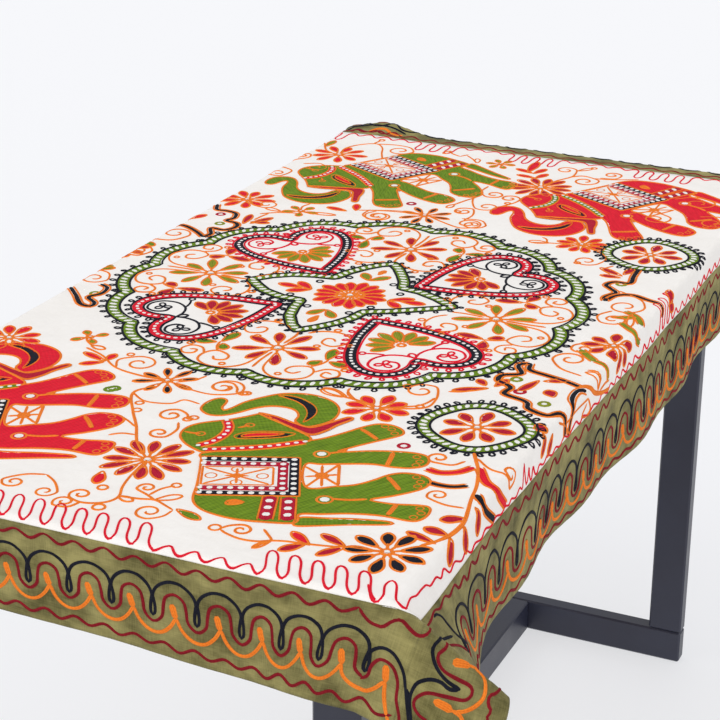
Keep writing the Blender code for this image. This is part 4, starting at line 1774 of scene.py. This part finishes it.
# Open leaves on the drawings: base, tip, and width in metres
OPEN_LEAVES = (
    (NEAR_END, (500, 147), (385, 112), 0.013), (NEAR_END, (290, 1265), (362, 1195), 0.01),
    (NEAR_END, (158, 1292), (222, 1306), 0.009), (NEAR_END, (800, 1368), (768, 1442), 0.006),
    (MIDDLE, (862, 1172), (802, 1150), 0.012), (MIDDLE, (258, 1150), (295, 1158), 0.009),
    (MIDDLE, (255, 130), (340, 118), 0.009), (MIDDLE, (200, 150), (150, 138), 0.009),
    (MIDDLE, (905, 95), (855, 102), 0.011), (MIDDLE, (1235, 480), (1254, 560), 0.008),
    (FAR_END, (578, 588), (572, 622), 0.008), (FAR_END, (492, 206), (478, 168), 0.008),
    (FAR_END, (380, 128), (372, 160), 0.008), (FAR_END, (770, 160), (800, 120), 0.008),
)
# Rings on the drawings: middle, and radius in metres
RINGS = (
    (NEAR_END, (47, 599), 0.0046), (NEAR_END, (-202, 541), 0.0044), (NEAR_END, (-175, 606), 0.0046),
    (NEAR_END, (140, 1396), 0.006), (NEAR_END, (300, 1130), 0.0046), (NEAR_END, (583, 1362), 0.0056),
    (NEAR_END, (122, 283), 0.0046), (NEAR_END, (62, 578), 0.0048), (NEAR_END, (810, 104), 0.0042),
    (NEAR_END, (70, 1256), 0.005), (MIDDLE, (675, 1240), 0.0046), (MIDDLE, (950, 1070), 0.0046),
    (MIDDLE, (1015, 205), 0.004), (MIDDLE, (360, 1160), 0.004), (FAR_END, (160, 110), 0.0042),
    (FAR_END, (802, 118), 0.0042), (FAR_END, (700, 520), 0.004), (FAR_END, (610, 640), 0.0038),
)
# The branch beside the near elephants' legs, and the rays by the right edge: width, points
BRANCHES = (
    (42, ((2853, -3690), (2945, -3863), (3050, -4074), (3155, -4390), (3208, -4653), (3274, -4916),
     (3313, -5126), (3300, -5390), (3247, -5574), (3142, -5732))),
    (60, ((3236, -1700), (3350, -1520), (3463, -1361), (3560, -1100), (3615, -832))),
    (30, ((3449, -1285), (3300, -1310), (3184, -1258), (3300, -1215), (3477, -1277))),
    (34, ((3477, -1277), (3330, -1180), (3183, -1187))), (34, ((3498, -1192), (3480, -1020), (3500, -870))),
    (28, ((3440, -1594), (3590, -1500), (3630, -1620), (3574, -1780), (3480, -1640))),
    (28, ((3634, -2147), (3449, -2354), (3344, -2547))),
    (28, ((3449, -2354), (3420, -1970), (3437, -1594))),
    (36, ((-800, -3560), (-932, -3818), (-703, -4208), (-467, -4534), (-267, -4859), (-64, -5088))),
    (28, ((-732, -4398), (-599, -4469), (-456, -4568))),
    (28, ((-357, -4733), (-500, -4760), (-600, -4850))),
    (28, ((-932, -3818), (-700, -3960), (-432, -3902), (-350, -3760), (-150, -3786))),
)

# The red edge line round the near right corner and along the right edge
CORNER_EDGE = (
    (3020, -6560), (3128, -6736), (3203, -6765), (3215, -6680), (3160, -6520), (3180, -6420), (3250, -6480),
    (3333, -6690), (3424, -6760), (3459, -6700), (3415, -6530), (3444, -6433), (3440, -6330),
    (3447, -6201), (3490, -6150), (3475, -5980), (3530, -5900), (3477, -5780), (3570, -5680),
    (3531, -5516), (3598, -5348), (3560, -5200), (3640, -5060), (3600, -4942), (3640, -4750),
    (3590, -4635), (3640, -4460), (3595, -4336), (3640, -4180), (3600, -4080), (3635, -3975),
    (3590, -3920), (3635, -3790), (3570, -3690), (3620, -3610), (3460, -3600), (3360, -3590),
    (3470, -3560), (3620, -3500), (3560, -3460), (3445, -3440), (3560, -3415), (3640, -3350),
    (3560, -3330), (3500, -3310), (3600, -3250), (3640, -3178), (3570, -3110), (3625, -2973),
    (3575, -2860), (3645, -2690), (3600, -2586), (3650, -2440), (3585, -2330), (3645, -2180),
    (3600, -2060), (3560, -1959), (3640, -1830), (3585, -1740), (3640, -1560), (3590, -1387),
    (3640, -1210), (3560, -1100), (3640, -900), (3565, -800), (3640, -640), (3560, -590), (3640, -430),
    (3555, -380), (3640, -230), (3565, -150), (3640, -10), (3550, 60), (3630, 200), (3630, 300),
)


@dataclass(frozen=True)
class GroundNeedlework:
    """Everything embroidered on the ground panel."""

    def draw(self, work: Needlework) -> None:
        """Lay the motifs, vines and the red line round the panel's edge.

        Args:
            work: the cloth's needlework.
        """
        Medallion().draw(work)
        Elephant(0.138, -0.4495, Thread.GREEN, Thread.RED).draw(work)
        Elephant(-0.199, -0.4495, Thread.RED, Thread.GREEN).draw(work)
        Elephant(-0.158, 0.430, Thread.GREEN, Thread.RED, -5.0, 1.03, True).draw(work)
        Elephant(0.179, 0.436, Thread.RED, Thread.GREEN, -5.0, 1.03, True).draw(work)
        for x, y in ((0.266, -0.3115), (0.268, 0.280)):
            RoundMedallion(x, y).draw(work)
        for k, row in enumerate(FLOWERS):
            Flower(*row, turn=17.0 * k).draw(work)
        for thread, width, rows in LEAVES:
            for x, y, tip_x, tip_y in metres(rows):
                draw_leaf(work, (x, y), (tip_x, tip_y), width / TENTHS, thread)
        for width, thread, points in SASHES:
            draw_sash(work, metres(points), width / TENTHS, thread)
        for sheet, vines in ((MIDDLE, MIDDLE_VINES), (NEAR_END, NEAR_VINES), (FAR_END, FAR_VINES)):
            for stem, curl in vines:
                if curl is None:
                    work.chain(smooth(sheet.at(stem)), Thread.ORANGE, 0.0031)
                else:
                    draw_curl(work, sheet.at(stem), sheet.at([curl])[0])
        for sheet, base, tip, width in OPEN_LEAVES:
            base, tip = sheet.at([base, tip])
            work.chain(petal(base, tip, width), Thread.ORANGE, 0.0028, closed=True)
        for sheet, spot, radius in RINGS:
            work.ring(sheet.at([spot])[0], radius, Thread.ORANGE, 0.0028)
        for width, points in BRANCHES:
            work.chain(smooth(metres(points)), Thread.ORANGE, width / TENTHS)
        for plume in PLUMES:
            line = smooth(metres(plume))
            work.chain(line, Thread.BLACK, 0.0054)
            for offset in (0.0041, -0.0041):
                work.chain(beside(line, offset, False), Thread.ORANGE, 0.0027)
        for *spot, thread in EYELETS:
            x, y = metres(spot)
            turns = np.linspace(0, 2 * np.pi, 7)[:-1]
            round_it = [(x + 0.0055 * math.cos(a), y + 0.0055 * math.sin(a)) for a in turns]
            work.band(smooth(round_it, True, 0.003), thread, 0.0046, True)
            work.dot((x, y), 0.0060, 0.0060, 0.0, Thread.WHITE, 0.0001)
        self.edge_waves(work)

    def edge_waves(self, work: Needlework) -> None:
        """Lay the red line that runs along the panel's four sides in tall and shallow waves.

        Args:
            work: the cloth's needlework.
        """
        near = (SEAM_LEFT + 0.02, -0.290, -0.180, -0.080, 0.102, 0.207, 0.318)
        far = (SEAM_LEFT + 0.02, -0.310, -0.200, -0.130, -0.050, 0.030, 0.140, 0.230, 0.335)
        left = (SEAM_NEAR + 0.012, -0.385, -0.330, 0.10, 0.16, SEAM_FAR - 0.012)
        right = (0.030, 0.10, 0.16, SEAM_FAR - 0.012)
        line = self.run(near, False, 0.0165)
        self.edge(work, np.stack([line[:, 0], SEAM_NEAR + line[:, 1]], axis=1))
        line = self.run(far, True)
        self.edge(work, np.stack([line[:, 0], SEAM_FAR - line[:, 1]], axis=1))
        line = self.run(left, False)
        self.edge(work, np.stack([SEAM_LEFT + line[:, 1], line[:, 0]], axis=1))
        line = self.run(right, False)
        self.edge(work, np.stack([SEAM_RIGHT - line[:, 1], line[:, 0]], axis=1))
        self.edge(work, smooth(metres(CORNER_EDGE), step=0.003))

    def run(self, places: tuple, tall: bool, lean: float = 0.0) -> np.ndarray:
        """Tall and shallow waves in turn, along one side.

        Args:
            places: where each kind of wave starts, and where the last one ends.
            tall: whether the first waves are tall.
            lean: how far back a tall crest stands.

        Returns:
            Rows of a place along the side and a distance from it.
        """
        parts = []
        for start, end in zip(places, places[1:]):
            parts.append(self.waves(start, end, tall, lean))
            tall = not tall
        return np.vstack(parts)

    @staticmethod
    def edge(work: Needlework, line: np.ndarray) -> None:
        """Lay a run of the red edge line."""
        work.chain(evenly(line, 0.003), Thread.RED, 0.0025)

    @staticmethod
    def waves(start: float, end: float, tall: bool, lean: float) -> np.ndarray:
        """A run of waves beside an edge.

        Args:
            start: where it starts along the edge.
            end: where it ends.
            tall: whether the waves are tall and round, or shallow.
            lean: how far back a tall crest stands.

        Returns:
            Rows of a place along the edge and a distance from it.
        """
        pitch, low, high = (0.0225, 0.004, 0.043) if tall else (0.0265, 0.003, 0.0125)
        count = max(1, round((end - start) / pitch))
        step = (end - start) / count
        turn = np.linspace(0, 2 * np.pi * count, 24 * count + 1)
        rise = 0.5 - 0.5 * np.cos(turn)
        swing = 0.095 * step * np.sin(2 * turn) if tall else 0.05 * step * np.sin(turn)
        along = start + step * turn / (2 * np.pi) + swing - (lean * rise if tall else 0.0)
        return np.stack([along, low + (high - low) * rise], axis=1)


@dataclass(frozen=True)
class BorderNeedlework:
    """The running pattern of one border strip, from its seam outwards.

    A strip's own positions are a place along it and a distance from its seam.
    """

    edge: Edge
    feet: np.ndarray
    inner_run: tuple
    outer_run: tuple
    sag: float = 0.0
    wave_pitch: float = 0.031

    def on_cloth(self, line: Points) -> np.ndarray:
        """Positions of the strip on the flat cloth.

        Args:
            line: rows of flat x and y.

        Returns:
            Rows of flat x and y.
        """
        along, out = np.asarray(line, float).T
        reach = np.clip((along + 0.56) / 0.25, 0.0, 1.0)
        out = out + self.sag * reach * np.sin(np.pi * np.clip(out / BORDER, 0.0, 1.0))
        if self.edge is Edge.NEAR:
            return np.stack([along, SEAM_NEAR - out], axis=1)
        if self.edge is Edge.FAR:
            return np.stack([along, SEAM_FAR + out], axis=1)
        if self.edge is Edge.LEFT:
            return np.stack([SEAM_LEFT - out, along], axis=1)
        return np.stack([SEAM_RIGHT + out, along], axis=1)

    def draw(self, work: Needlework, seed: int) -> None:
        """Lay the strip's lines.

        Args:
            work: the border's needlework.
            seed: the start of the small unevenness of the hand.
        """
        hand = np.random.default_rng(seed)
        lines = ((self.inner_run, 0.0095, 0.0042), (self.outer_run, 0.0975, 0.0036))
        for (start, end), middle, swing in lines:
            turns = round((end - start) / self.wave_pitch)
            step = (end - start) / (2 * turns)
            line = [(start + k * step, middle + (swing if k % 2 else -swing) + hand.normal(0, 0.0006))
                    for k in range(2 * turns + 1)]
            work.chain(self.lay(line), Thread.WINE, 0.0036)
        feet = self.feet + hand.normal(0, 0.0010, len(self.feet))
        meander = [(feet[0], 0.0735)]
        for left, right in zip(feet, feet[1:]):
            wide, middle = right - left, (left + right) / 2
            crest = 0.0265 + hand.normal(0, 0.0008)
            arch = [(left + 0.0008, 0.052), (left + 0.02 * wide, 0.042), (left + 0.12 * wide, 0.0335),
                    (left + 0.32 * wide, crest + 0.0008), (middle, crest - 0.0006),
                    (right - 0.32 * wide, crest + 0.0008), (right - 0.12 * wide, 0.0335),
                    (right - 0.02 * wide, 0.042), (right - 0.0008, 0.052)]
            work.chain(self.lay(arch), Thread.BLACK, 0.0037)
            meander += [(left + 0.20 * wide, 0.066), (left + 0.24 * wide, 0.054),
                        (left + 0.30 * wide, 0.0435), (middle, 0.0385), (right - 0.30 * wide, 0.0435),
                        (right - 0.24 * wide, 0.054), (right - 0.20 * wide, 0.066), (right, 0.0735)]
            bulb = [(middle - 0.0030, 0.0495), (middle - 0.0014, 0.0570), (middle + 0.0010, 0.0650)]
            work.chain(self.lay(bulb), Thread.ORANGE, 0.0070, high=0.0012)
        for foot in feet:
            drop = [(foot, 0.044), (foot - 0.0021, 0.055), (foot - 0.0022, 0.063), (foot, 0.0665),
                    (foot + 0.0022, 0.063), (foot + 0.0021, 0.055)]
            work.chain(smooth(self.on_cloth(drop), True, 0.003), Thread.BLACK, 0.0036, True)
        work.chain(self.lay(meander), Thread.WINE, 0.0036)
        middles = [(a + b) / 2 for a, b in zip(feet, feet[1:])]
        for left, right in zip(middles, middles[1:]):
            wide = right - left
            arc = [(left + 0.001, 0.063), (left + 0.14 * wide, 0.0750), (left + 0.32 * wide, 0.0830),
                   (left + 0.52 * wide, 0.0855), (left + 0.72 * wide, 0.0825),
                   (left + 0.90 * wide, 0.0740), (right + 0.001, 0.0635)]
            work.chain(self.lay(arc), Thread.ORANGE, 0.0040)

    def lay(self, line: Points) -> np.ndarray:
        """A smooth curve of the strip on the flat cloth."""
        return smooth(self.on_cloth(line))


# The pattern's lines as they turn the near right corner: thread, width, points on the flat cloth
CORNER_LINES = (
    (Thread.BLACK, 37, ((3250, -7350), (3265, -7250), (3360, -7160), (3480, -7170), (3610, -7280),
     (3680, -7420), (3735, -7560), (3790, -7680))),
    (Thread.BLACK, 64, ((3695, -7420), (3745, -7540), (3800, -7680), (3860, -7820))),
    (Thread.BLACK, 37, ((3800, -7720), (3776, -7600), (3751, -7499), (3754, -7396), (3789, -7306),
     (3885, -7235), (3996, -7222), (4100, -7250), (4183, -7228), (4200, -7212))),
    (Thread.BLACK, 37, ((4200, -7212), (4115, -7206), (4011, -7179), (3916, -7125), (3845, -7047),
     (3816, -6959), (3875, -6850), (3940, -6600), (4040, -6290))),
    (Thread.BLACK, 50, ((4120, -7225), (4165, -7222), (4205, -7216))),
    (Thread.BLACK, 37, ((3745, -6400), (3737, -6340), (3803, -6267), (3926, -6234), (4079, -6168),
     (4200, -6020), (4298, -5894))),
    (Thread.WINE, 36, ((3240, -7540), (3300, -7480), (3310, -7370), (3380, -7270), (3500, -7290),
     (3590, -7410), (3620, -7570), (3690, -7710), (3720, -7840))),
    (Thread.WINE, 36, ((4300, -6100), (4154, -6301), (4010, -6620), (3943, -6925), (3890, -6997),
     (3907, -7064), (3991, -7123), (4151, -7145), (4295, -7167), (4335, -7225), (4268, -7294),
     (4067, -7323), (3903, -7357), (3805, -7468), (3817, -7552), (3894, -7597), (3985, -7610),
     (4080, -7680))),
    (Thread.ORANGE, 78, ((4045, -7030), (4110, -7020), (4180, -7006), (4243, -6998))),
    (Thread.ORANGE, 42, ((4220, -6998), (4300, -6985), (4400, -6900), (4550, -6700))),
    (Thread.ORANGE, 42, ((4290, -6990), (4404, -7040), (4453, -7137), (4458, -7229), (4400, -7310),
     (4303, -7384), (4220, -7408))),
    (Thread.ORANGE, 78, ((3985, -7396), (4050, -7398), (4120, -7402), (4191, -7414))),
    (Thread.ORANGE, 42, ((4180, -7412), (4234, -7416), (4300, -7440), (4380, -7540), (4420, -7680))),
    (Thread.ORANGE, 42, ((3020, -7425), (3060, -7540), (3170, -7620), (3300, -7640), (3390, -7570),
     (3460, -7460))),
    (Thread.ORANGE, 70, ((3440, -7300), (3455, -7380), (3475, -7460))),
    (Thread.ORANGE, 42, ((3470, -7450), (3500, -7600), (3560, -7740), (3640, -7860))),
    (Thread.WINE, 36, ((4640, -6650), (4700, -6800), (4620, -6900), (4660, -7000), (4587, -7138),
     (4520, -7190), (4528, -7257), (4576, -7302), (4557, -7364), (4640, -7450), (4560, -7600),
     (4640, -7720))),
    (Thread.WINE, 36, ((3065, -6843), (3110, -6900), (3200, -6965), (3304, -6973), (3376, -6890),
     (3444, -6858), (3548, -6903), (3643, -6925), (3722, -6872), (3745, -6700), (3736, -6487),
     (3695, -6330), (3735, -6194), (3690, -6000), (3748, -5862), (3712, -5666), (3797, -5542),
     (3757, -5360), (3835, -5257), (3713, -5083))),
)
# The pattern on the lifted far left corner
LIFTED_LINES = (
    (Thread.BLACK, 37, ((-3264, 6480), (-3215, 6640), (-3005, 6693), (-2768, 6678), (-2521, 6649),
     (-2317, 6577))),
    (Thread.ORANGE, 50, ((-2905, 6500), (-2803, 6590), (-2661, 6600), (-2544, 6520), (-2424, 6490),
     (-2349, 6530))),
    (Thread.WINE, 36, ((-3180, 6440), (-3122, 6570), (-2980, 6500), (-2840, 6480), (-2734, 6540),
     (-2577, 6460), (-2416, 6440))),
)
# Where the black drops of the right strip stand, from the near right corner on
RIGHT_FEET = (
    -6090, -5413, -4642, -4148, -3673, -3076, -2606, -2189, -1753, -1307, -870, -400, 41,
)
# Loose ends of white thread at the right hem
FRAYED = (
    ((4752, -5520), (4775, -5550), (4805, -5545), (4830, -5580)),
    ((4752, -5545), (4785, -5560), (4800, -5610)),
    ((4752, -5580), (4790, -5590), (4830, -5640)),
)


@dataclass(frozen=True)
class ClothPanel:
    """One cut piece of the hanging, as a closed sheet over a fine grid of the flat cloth."""

    name: str
    node: str
    x_range: tuple
    y_range: tuple
    top_cell: float = 0.010
    fall_cell: float = 0.0030

    def stations(self, low: float, high: float, bend: float) -> np.ndarray:
        """Grid lines along one axis, fine past the table's edges and in the bends.

        Args:
            low: the low end.
            high: the high end.
            bend: where the cloth starts to bend.

        Returns:
            The lines' positions, in order.
        """
        bends = (-bend - 0.003, -bend + 0.004, bend - 0.004, bend + 0.003)
        marks = [low] + [place for place in bends if low < place < high] + [high]
        lines = [np.array([low])]
        for start, end in zip(marks, marks[1:]):
            cell = self.top_cell if abs(start + end) / 2 < bend - 0.004 else self.fall_cell
            cell = 0.0018 if end - start < 0.012 and abs(abs(start + end) / 2 - bend) < 0.006 else cell
            count = max(1, math.ceil((end - start) / cell))
            lines.append(np.linspace(start, end, count + 1)[1:])
        return np.concatenate(lines)

    def relief(self, flat: np.ndarray) -> np.ndarray:
        """Height of the sewn edge and of soft puckers over the plain drape.

        Args:
            flat: N rows of flat x and y.

        Returns:
            One height for each row.
        """
        x, y = flat[:, 0], flat[:, 1]
        if self.name == "ground_cloth":
            broad = np.sin(41 * x + 9 * y) * np.sin(33 * y - 7 * x)
            soft = broad + 0.6 * np.sin(88 * x - 31 * y + 1.0) * np.sin(71 * y + 17 * x)
            return 0.00018 * soft
        from_seam = np.maximum(np.maximum(SEAM_LEFT - x, x - SEAM_RIGHT),
                               np.maximum(SEAM_NEAR - y, y - SEAM_FAR))
        folded = 0.00075 * np.exp(-(np.maximum(from_seam - 0.001, 0.0) / 0.0050) ** 2)
        puckers = 0.00025 * np.sin(95 * (x + y)) * np.sin(120 * (x - y))
        return folded - 0.0004 * (from_seam < SEAM_OVERLAP) + puckers

    def build(self, drape: Drape, material: Material) -> bpy.types.Object:
        """Make the sheet.

        Args:
            drape: the cloth's fall.
            material: its finish.

        Returns:
            The new piece, which replaces its CAD node.
        """
        x_lines = self.stations(*self.x_range, BEND_X)
        y_lines = self.stations(*self.y_range, BEND_Y)
        columns, rows = len(x_lines), len(y_lines)
        flat = np.stack(np.meshgrid(x_lines, y_lines, indexing="ij"), axis=-1).reshape(-1, 2)
        middle, normal = drape.points(flat), drape.normals(flat)
        lift = self.relief(flat)[:, None]
        points = np.vstack([middle + (lift + CLOTH_THICK / 2) * normal,
                            middle + (lift - CLOTH_THICK / 2) * normal])
        i, j = np.meshgrid(np.arange(columns - 1), np.arange(rows - 1), indexing="ij")
        a = (i * rows + j).ravel()
        upper = np.stack([a, a + rows, a + rows + 1, a + 1], axis=1)
        under = upper[:, ::-1] + columns * rows
        rim = np.concatenate([np.arange(columns - 1) * rows, (columns - 1) * rows + np.arange(rows - 1),
                              np.arange(columns - 1, 0, -1) * rows + rows - 1, np.arange(rows - 1, 0, -1)])
        after = np.roll(rim, -1)
        sides = np.stack([rim + columns * rows, after + columns * rows, after, rim], axis=1)
        faces = np.vstack([upper, under, sides]).tolist()
        piece = mesh_piece(self.name, points, faces, material, "Flat", np.vstack([flat, flat]))
        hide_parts(self.node)
        LOG.info("%s: %d faces", self.name, len(faces))
        return piece


@dataclass(frozen=True)
class Hanging:
    """The embroidered hanging: five sewn cloths and the thread on them."""

    drape: Drape = field(default_factory=Drape)

    def build(self) -> None:
        weave, crumple, stitches = weave_group(), crumple_group(), stitch_group()
        ground_finish = ClothFinish((0.80, 0.76, 0.71), (0.93, 0.905, 0.87), 0.35, 0.5, 0.0003)
        border_finish = ClothFinish((0.088, 0.077, 0.022), (0.325, 0.285, 0.104), 0.50, 1.9, 0.0005)
        ground_cotton = ground_finish.build("ground_cotton", weave, crumple)
        olive_cotton = border_finish.build("olive_cotton", weave, crumple)
        threads = {
            Thread.ORANGE: ThreadFinish((0.62, 0.118, 0.010), (0.93, 0.248, 0.028)),
            Thread.RED: ThreadFinish((0.48, 0.005, 0.016), (0.84, 0.015, 0.038)),
            Thread.CRIMSON: ThreadFinish((0.26, 0.005, 0.018), (0.54, 0.013, 0.040)),
            Thread.WINE: ThreadFinish((0.12, 0.004, 0.008), (0.26, 0.010, 0.018)),
            Thread.GREEN: ThreadFinish((0.036, 0.085, 0.003), (0.200, 0.320, 0.018)),
            Thread.LEAF: ThreadFinish((0.110, 0.140, 0.006), (0.300, 0.330, 0.024)),
            Thread.BLACK: ThreadFinish((0.003, 0.0035, 0.006), (0.014, 0.015, 0.026)),
            Thread.WHITE: ThreadFinish((0.70, 0.68, 0.64), (0.92, 0.90, 0.87)),
        }
        finishes = {thread: finish.build(f"thread_{thread.value}", stitches)
                    for thread, finish in threads.items()}
        outer_x = (SEAM_LEFT - BORDER, SEAM_RIGHT + BORDER)
        outer_y = (SEAM_NEAR - BORDER, SEAM_FAR + BORDER)
        inner_x = (SEAM_LEFT, SEAM_RIGHT)
        ground = ClothPanel("ground_cloth", "ground_panel", inner_x, (SEAM_NEAR, SEAM_FAR))
        cuts = {
            Edge.NEAR: (inner_x, (outer_y[0], SEAM_NEAR + SEAM_OVERLAP)),
            Edge.FAR: (inner_x, (SEAM_FAR - SEAM_OVERLAP, outer_y[1])),
            Edge.LEFT: ((outer_x[0], SEAM_LEFT + SEAM_OVERLAP), outer_y, 0.006),
            Edge.RIGHT: ((SEAM_RIGHT - SEAM_OVERLAP, outer_x[1]), outer_y, 0.006),
        }
        across, whole = (SEAM_LEFT + 0.004, SEAM_RIGHT - 0.004), (outer_y[0] + 0.006, outer_y[1] - 0.006)
        right_feet = metres(RIGHT_FEET)
        right_feet = np.concatenate([right_feet, right_feet[-1] + 0.0434 * np.arange(1, 18)])
        runs = {
            Edge.NEAR: (np.linspace(SEAM_LEFT + 0.0075, 0.3245, 17), (across[0], 0.3065), across),
            Edge.FAR: (np.linspace(*across, 18), across, across),
            Edge.LEFT: (np.linspace(*whole, 37), whole, whole),
            Edge.RIGHT: (right_feet, (-0.5083, whole[1]), (-0.665, whole[1]), 0.0140),
        }
        ground_piece = ground.build(self.drape, ground_cotton)
        work = Needlework("ground", self.drape)
        GroundNeedlework().draw(work)
        on_ground = work.finish(finishes)
        extras = {Edge.FAR: LIFTED_LINES, Edge.RIGHT: CORNER_LINES}
        for k, (edge, cut) in enumerate(cuts.items()):
            side = edge.value[0]
            panel = ClothPanel(f"border_cloth_{side}", f"border_{side}", *cut)
            piece = panel.build(self.drape, olive_cotton)
            work = Needlework(f"border_{side}", self.drape)
            BorderNeedlework(edge, *runs[edge]).draw(work, 11 + k)
            for thread, width, points in extras.get(edge, ()):
                work.chain(smooth(metres(points)), thread, width / TENTHS)
            if edge is Edge.RIGHT:
                for points in FRAYED:
                    work.chain(smooth(metres(points), step=0.0015), Thread.WHITE, 0.0009)
            on_strip = work.finish(finishes)


@dataclass(frozen=True)
class Table:
    """The plain table: a board on a base of painted steel tube."""

    def build(self) -> None:
        """Give the carried-over solids their finishes."""
        board, steel = BoardFinish().build("pale_board"), PaintFinish().build("painted_steel")
        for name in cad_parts:
            node = bpy.data.objects[name]
            if name == "table_top":
                self.dress(node, board)
            elif "bar" in name or "upright" in name or "stretcher" in name:
                self.dress(node, steel)

    @staticmethod
    def dress(node: bpy.types.Object, material: Material) -> None:
        """Put a material in a node's slots.

        Args:
            node: one of the table's nodes.
            material: its finish.
        """
        for slot in node.material_slots:
            slot.material = material
        LOG.info("%s: %s", node.name, material.name)


@dataclass(frozen=True)
class Studio:
    """Pale floor that glows a little though it is no lamp (painted light, which keeps shadows on it faint),
    soft light and the camera.
    """

    eye: tuple = (0.903, -1.990, 1.550)
    right: tuple = (0.9088, 0.4173, 0.0045)
    up: tuple = (-0.1604, 0.3393, 0.9269)
    lens: float = 97.3

    def build(self) -> None:
        """Make the floor, the lights, the sky and the camera."""
        material, tree, shader = new_material("glowing_floor")
        shader.inputs["Base Color"].default_value = (0.30, 0.302, 0.308, 1.0)
        # Painted light: the floor glows, which keeps it near-white and the table's shadow on it faint
        shader.inputs["Emission Color"].default_value = (0.97, 0.975, 1.0, 1.0)
        shader.inputs["Emission Strength"].default_value = 0.60
        shader.inputs["Roughness"].default_value = 0.65
        mesh = bpy.data.meshes.new("floor")
        reach = 14.0
        corners = [(x * reach, y * reach, -0.0005) for x, y in ((-1, -1), (1, -1), (1, 1), (-1, 1))]
        mesh.from_pydata(corners, [], [(0, 1, 2, 3)])
        mesh.materials.append(material)
        floor = bpy.data.objects.new("floor", mesh)
        bpy.context.collection.objects.link(floor)
        self.lamp("key", (-1.6, -2.6, 3.2), 60.0, 1.10)
        self.lamp("fill", (3.0, -1.4, 2.6), 70.0, 0.70)
        world = bpy.data.worlds.new("soft_white")
        world.use_nodes = True
        world.node_tree.nodes["Background"].inputs["Color"].default_value = (0.96, 0.97, 1.0, 1.0)
        world.node_tree.nodes["Background"].inputs["Strength"].default_value = 0.68
        bpy.context.scene.world = world
        bpy.context.scene.view_settings.view_transform = "Standard"
        right, up = Vector(self.right), Vector(self.up)
        back = right.cross(up)
        place = Matrix.Translation(self.eye) @ Matrix((right, up, back)).transposed().to_4x4()
        data = bpy.data.cameras.new("camera")
        data.sensor_width = 36.0
        data.lens = self.lens
        camera = bpy.data.objects.new("camera", data)
        camera.matrix_world = place
        bpy.context.collection.objects.link(camera)
        bpy.context.scene.camera = camera

    @staticmethod
    def lamp(name: str, place: tuple, soft: float, power: float) -> None:
        """A broad distant light that shines from a direction; soft is its width in degrees.

        Args:
            name: its name.
            place: where it stands.
            soft: its width.
            power: its strength.
        """
        data = bpy.data.lights.new(name, "SUN")
        data.angle = math.radians(soft)
        data.energy = power
        lamp = bpy.data.objects.new(name, data)
        lamp.location = place
        lamp.rotation_euler = (-Vector(place)).to_track_quat("-Z", "Y").to_euler()
        bpy.context.collection.objects.link(lamp)


def main() -> None:
    """Build the scene's classes in order and log the pieces' sizes."""
    logging.basicConfig(level=logging.INFO, format="%(name)s %(message)s")
    Studio().build()
    Table().build()
    Hanging().build()
    bpy.context.view_layer.update()


if __name__ == "__main__":
    main()
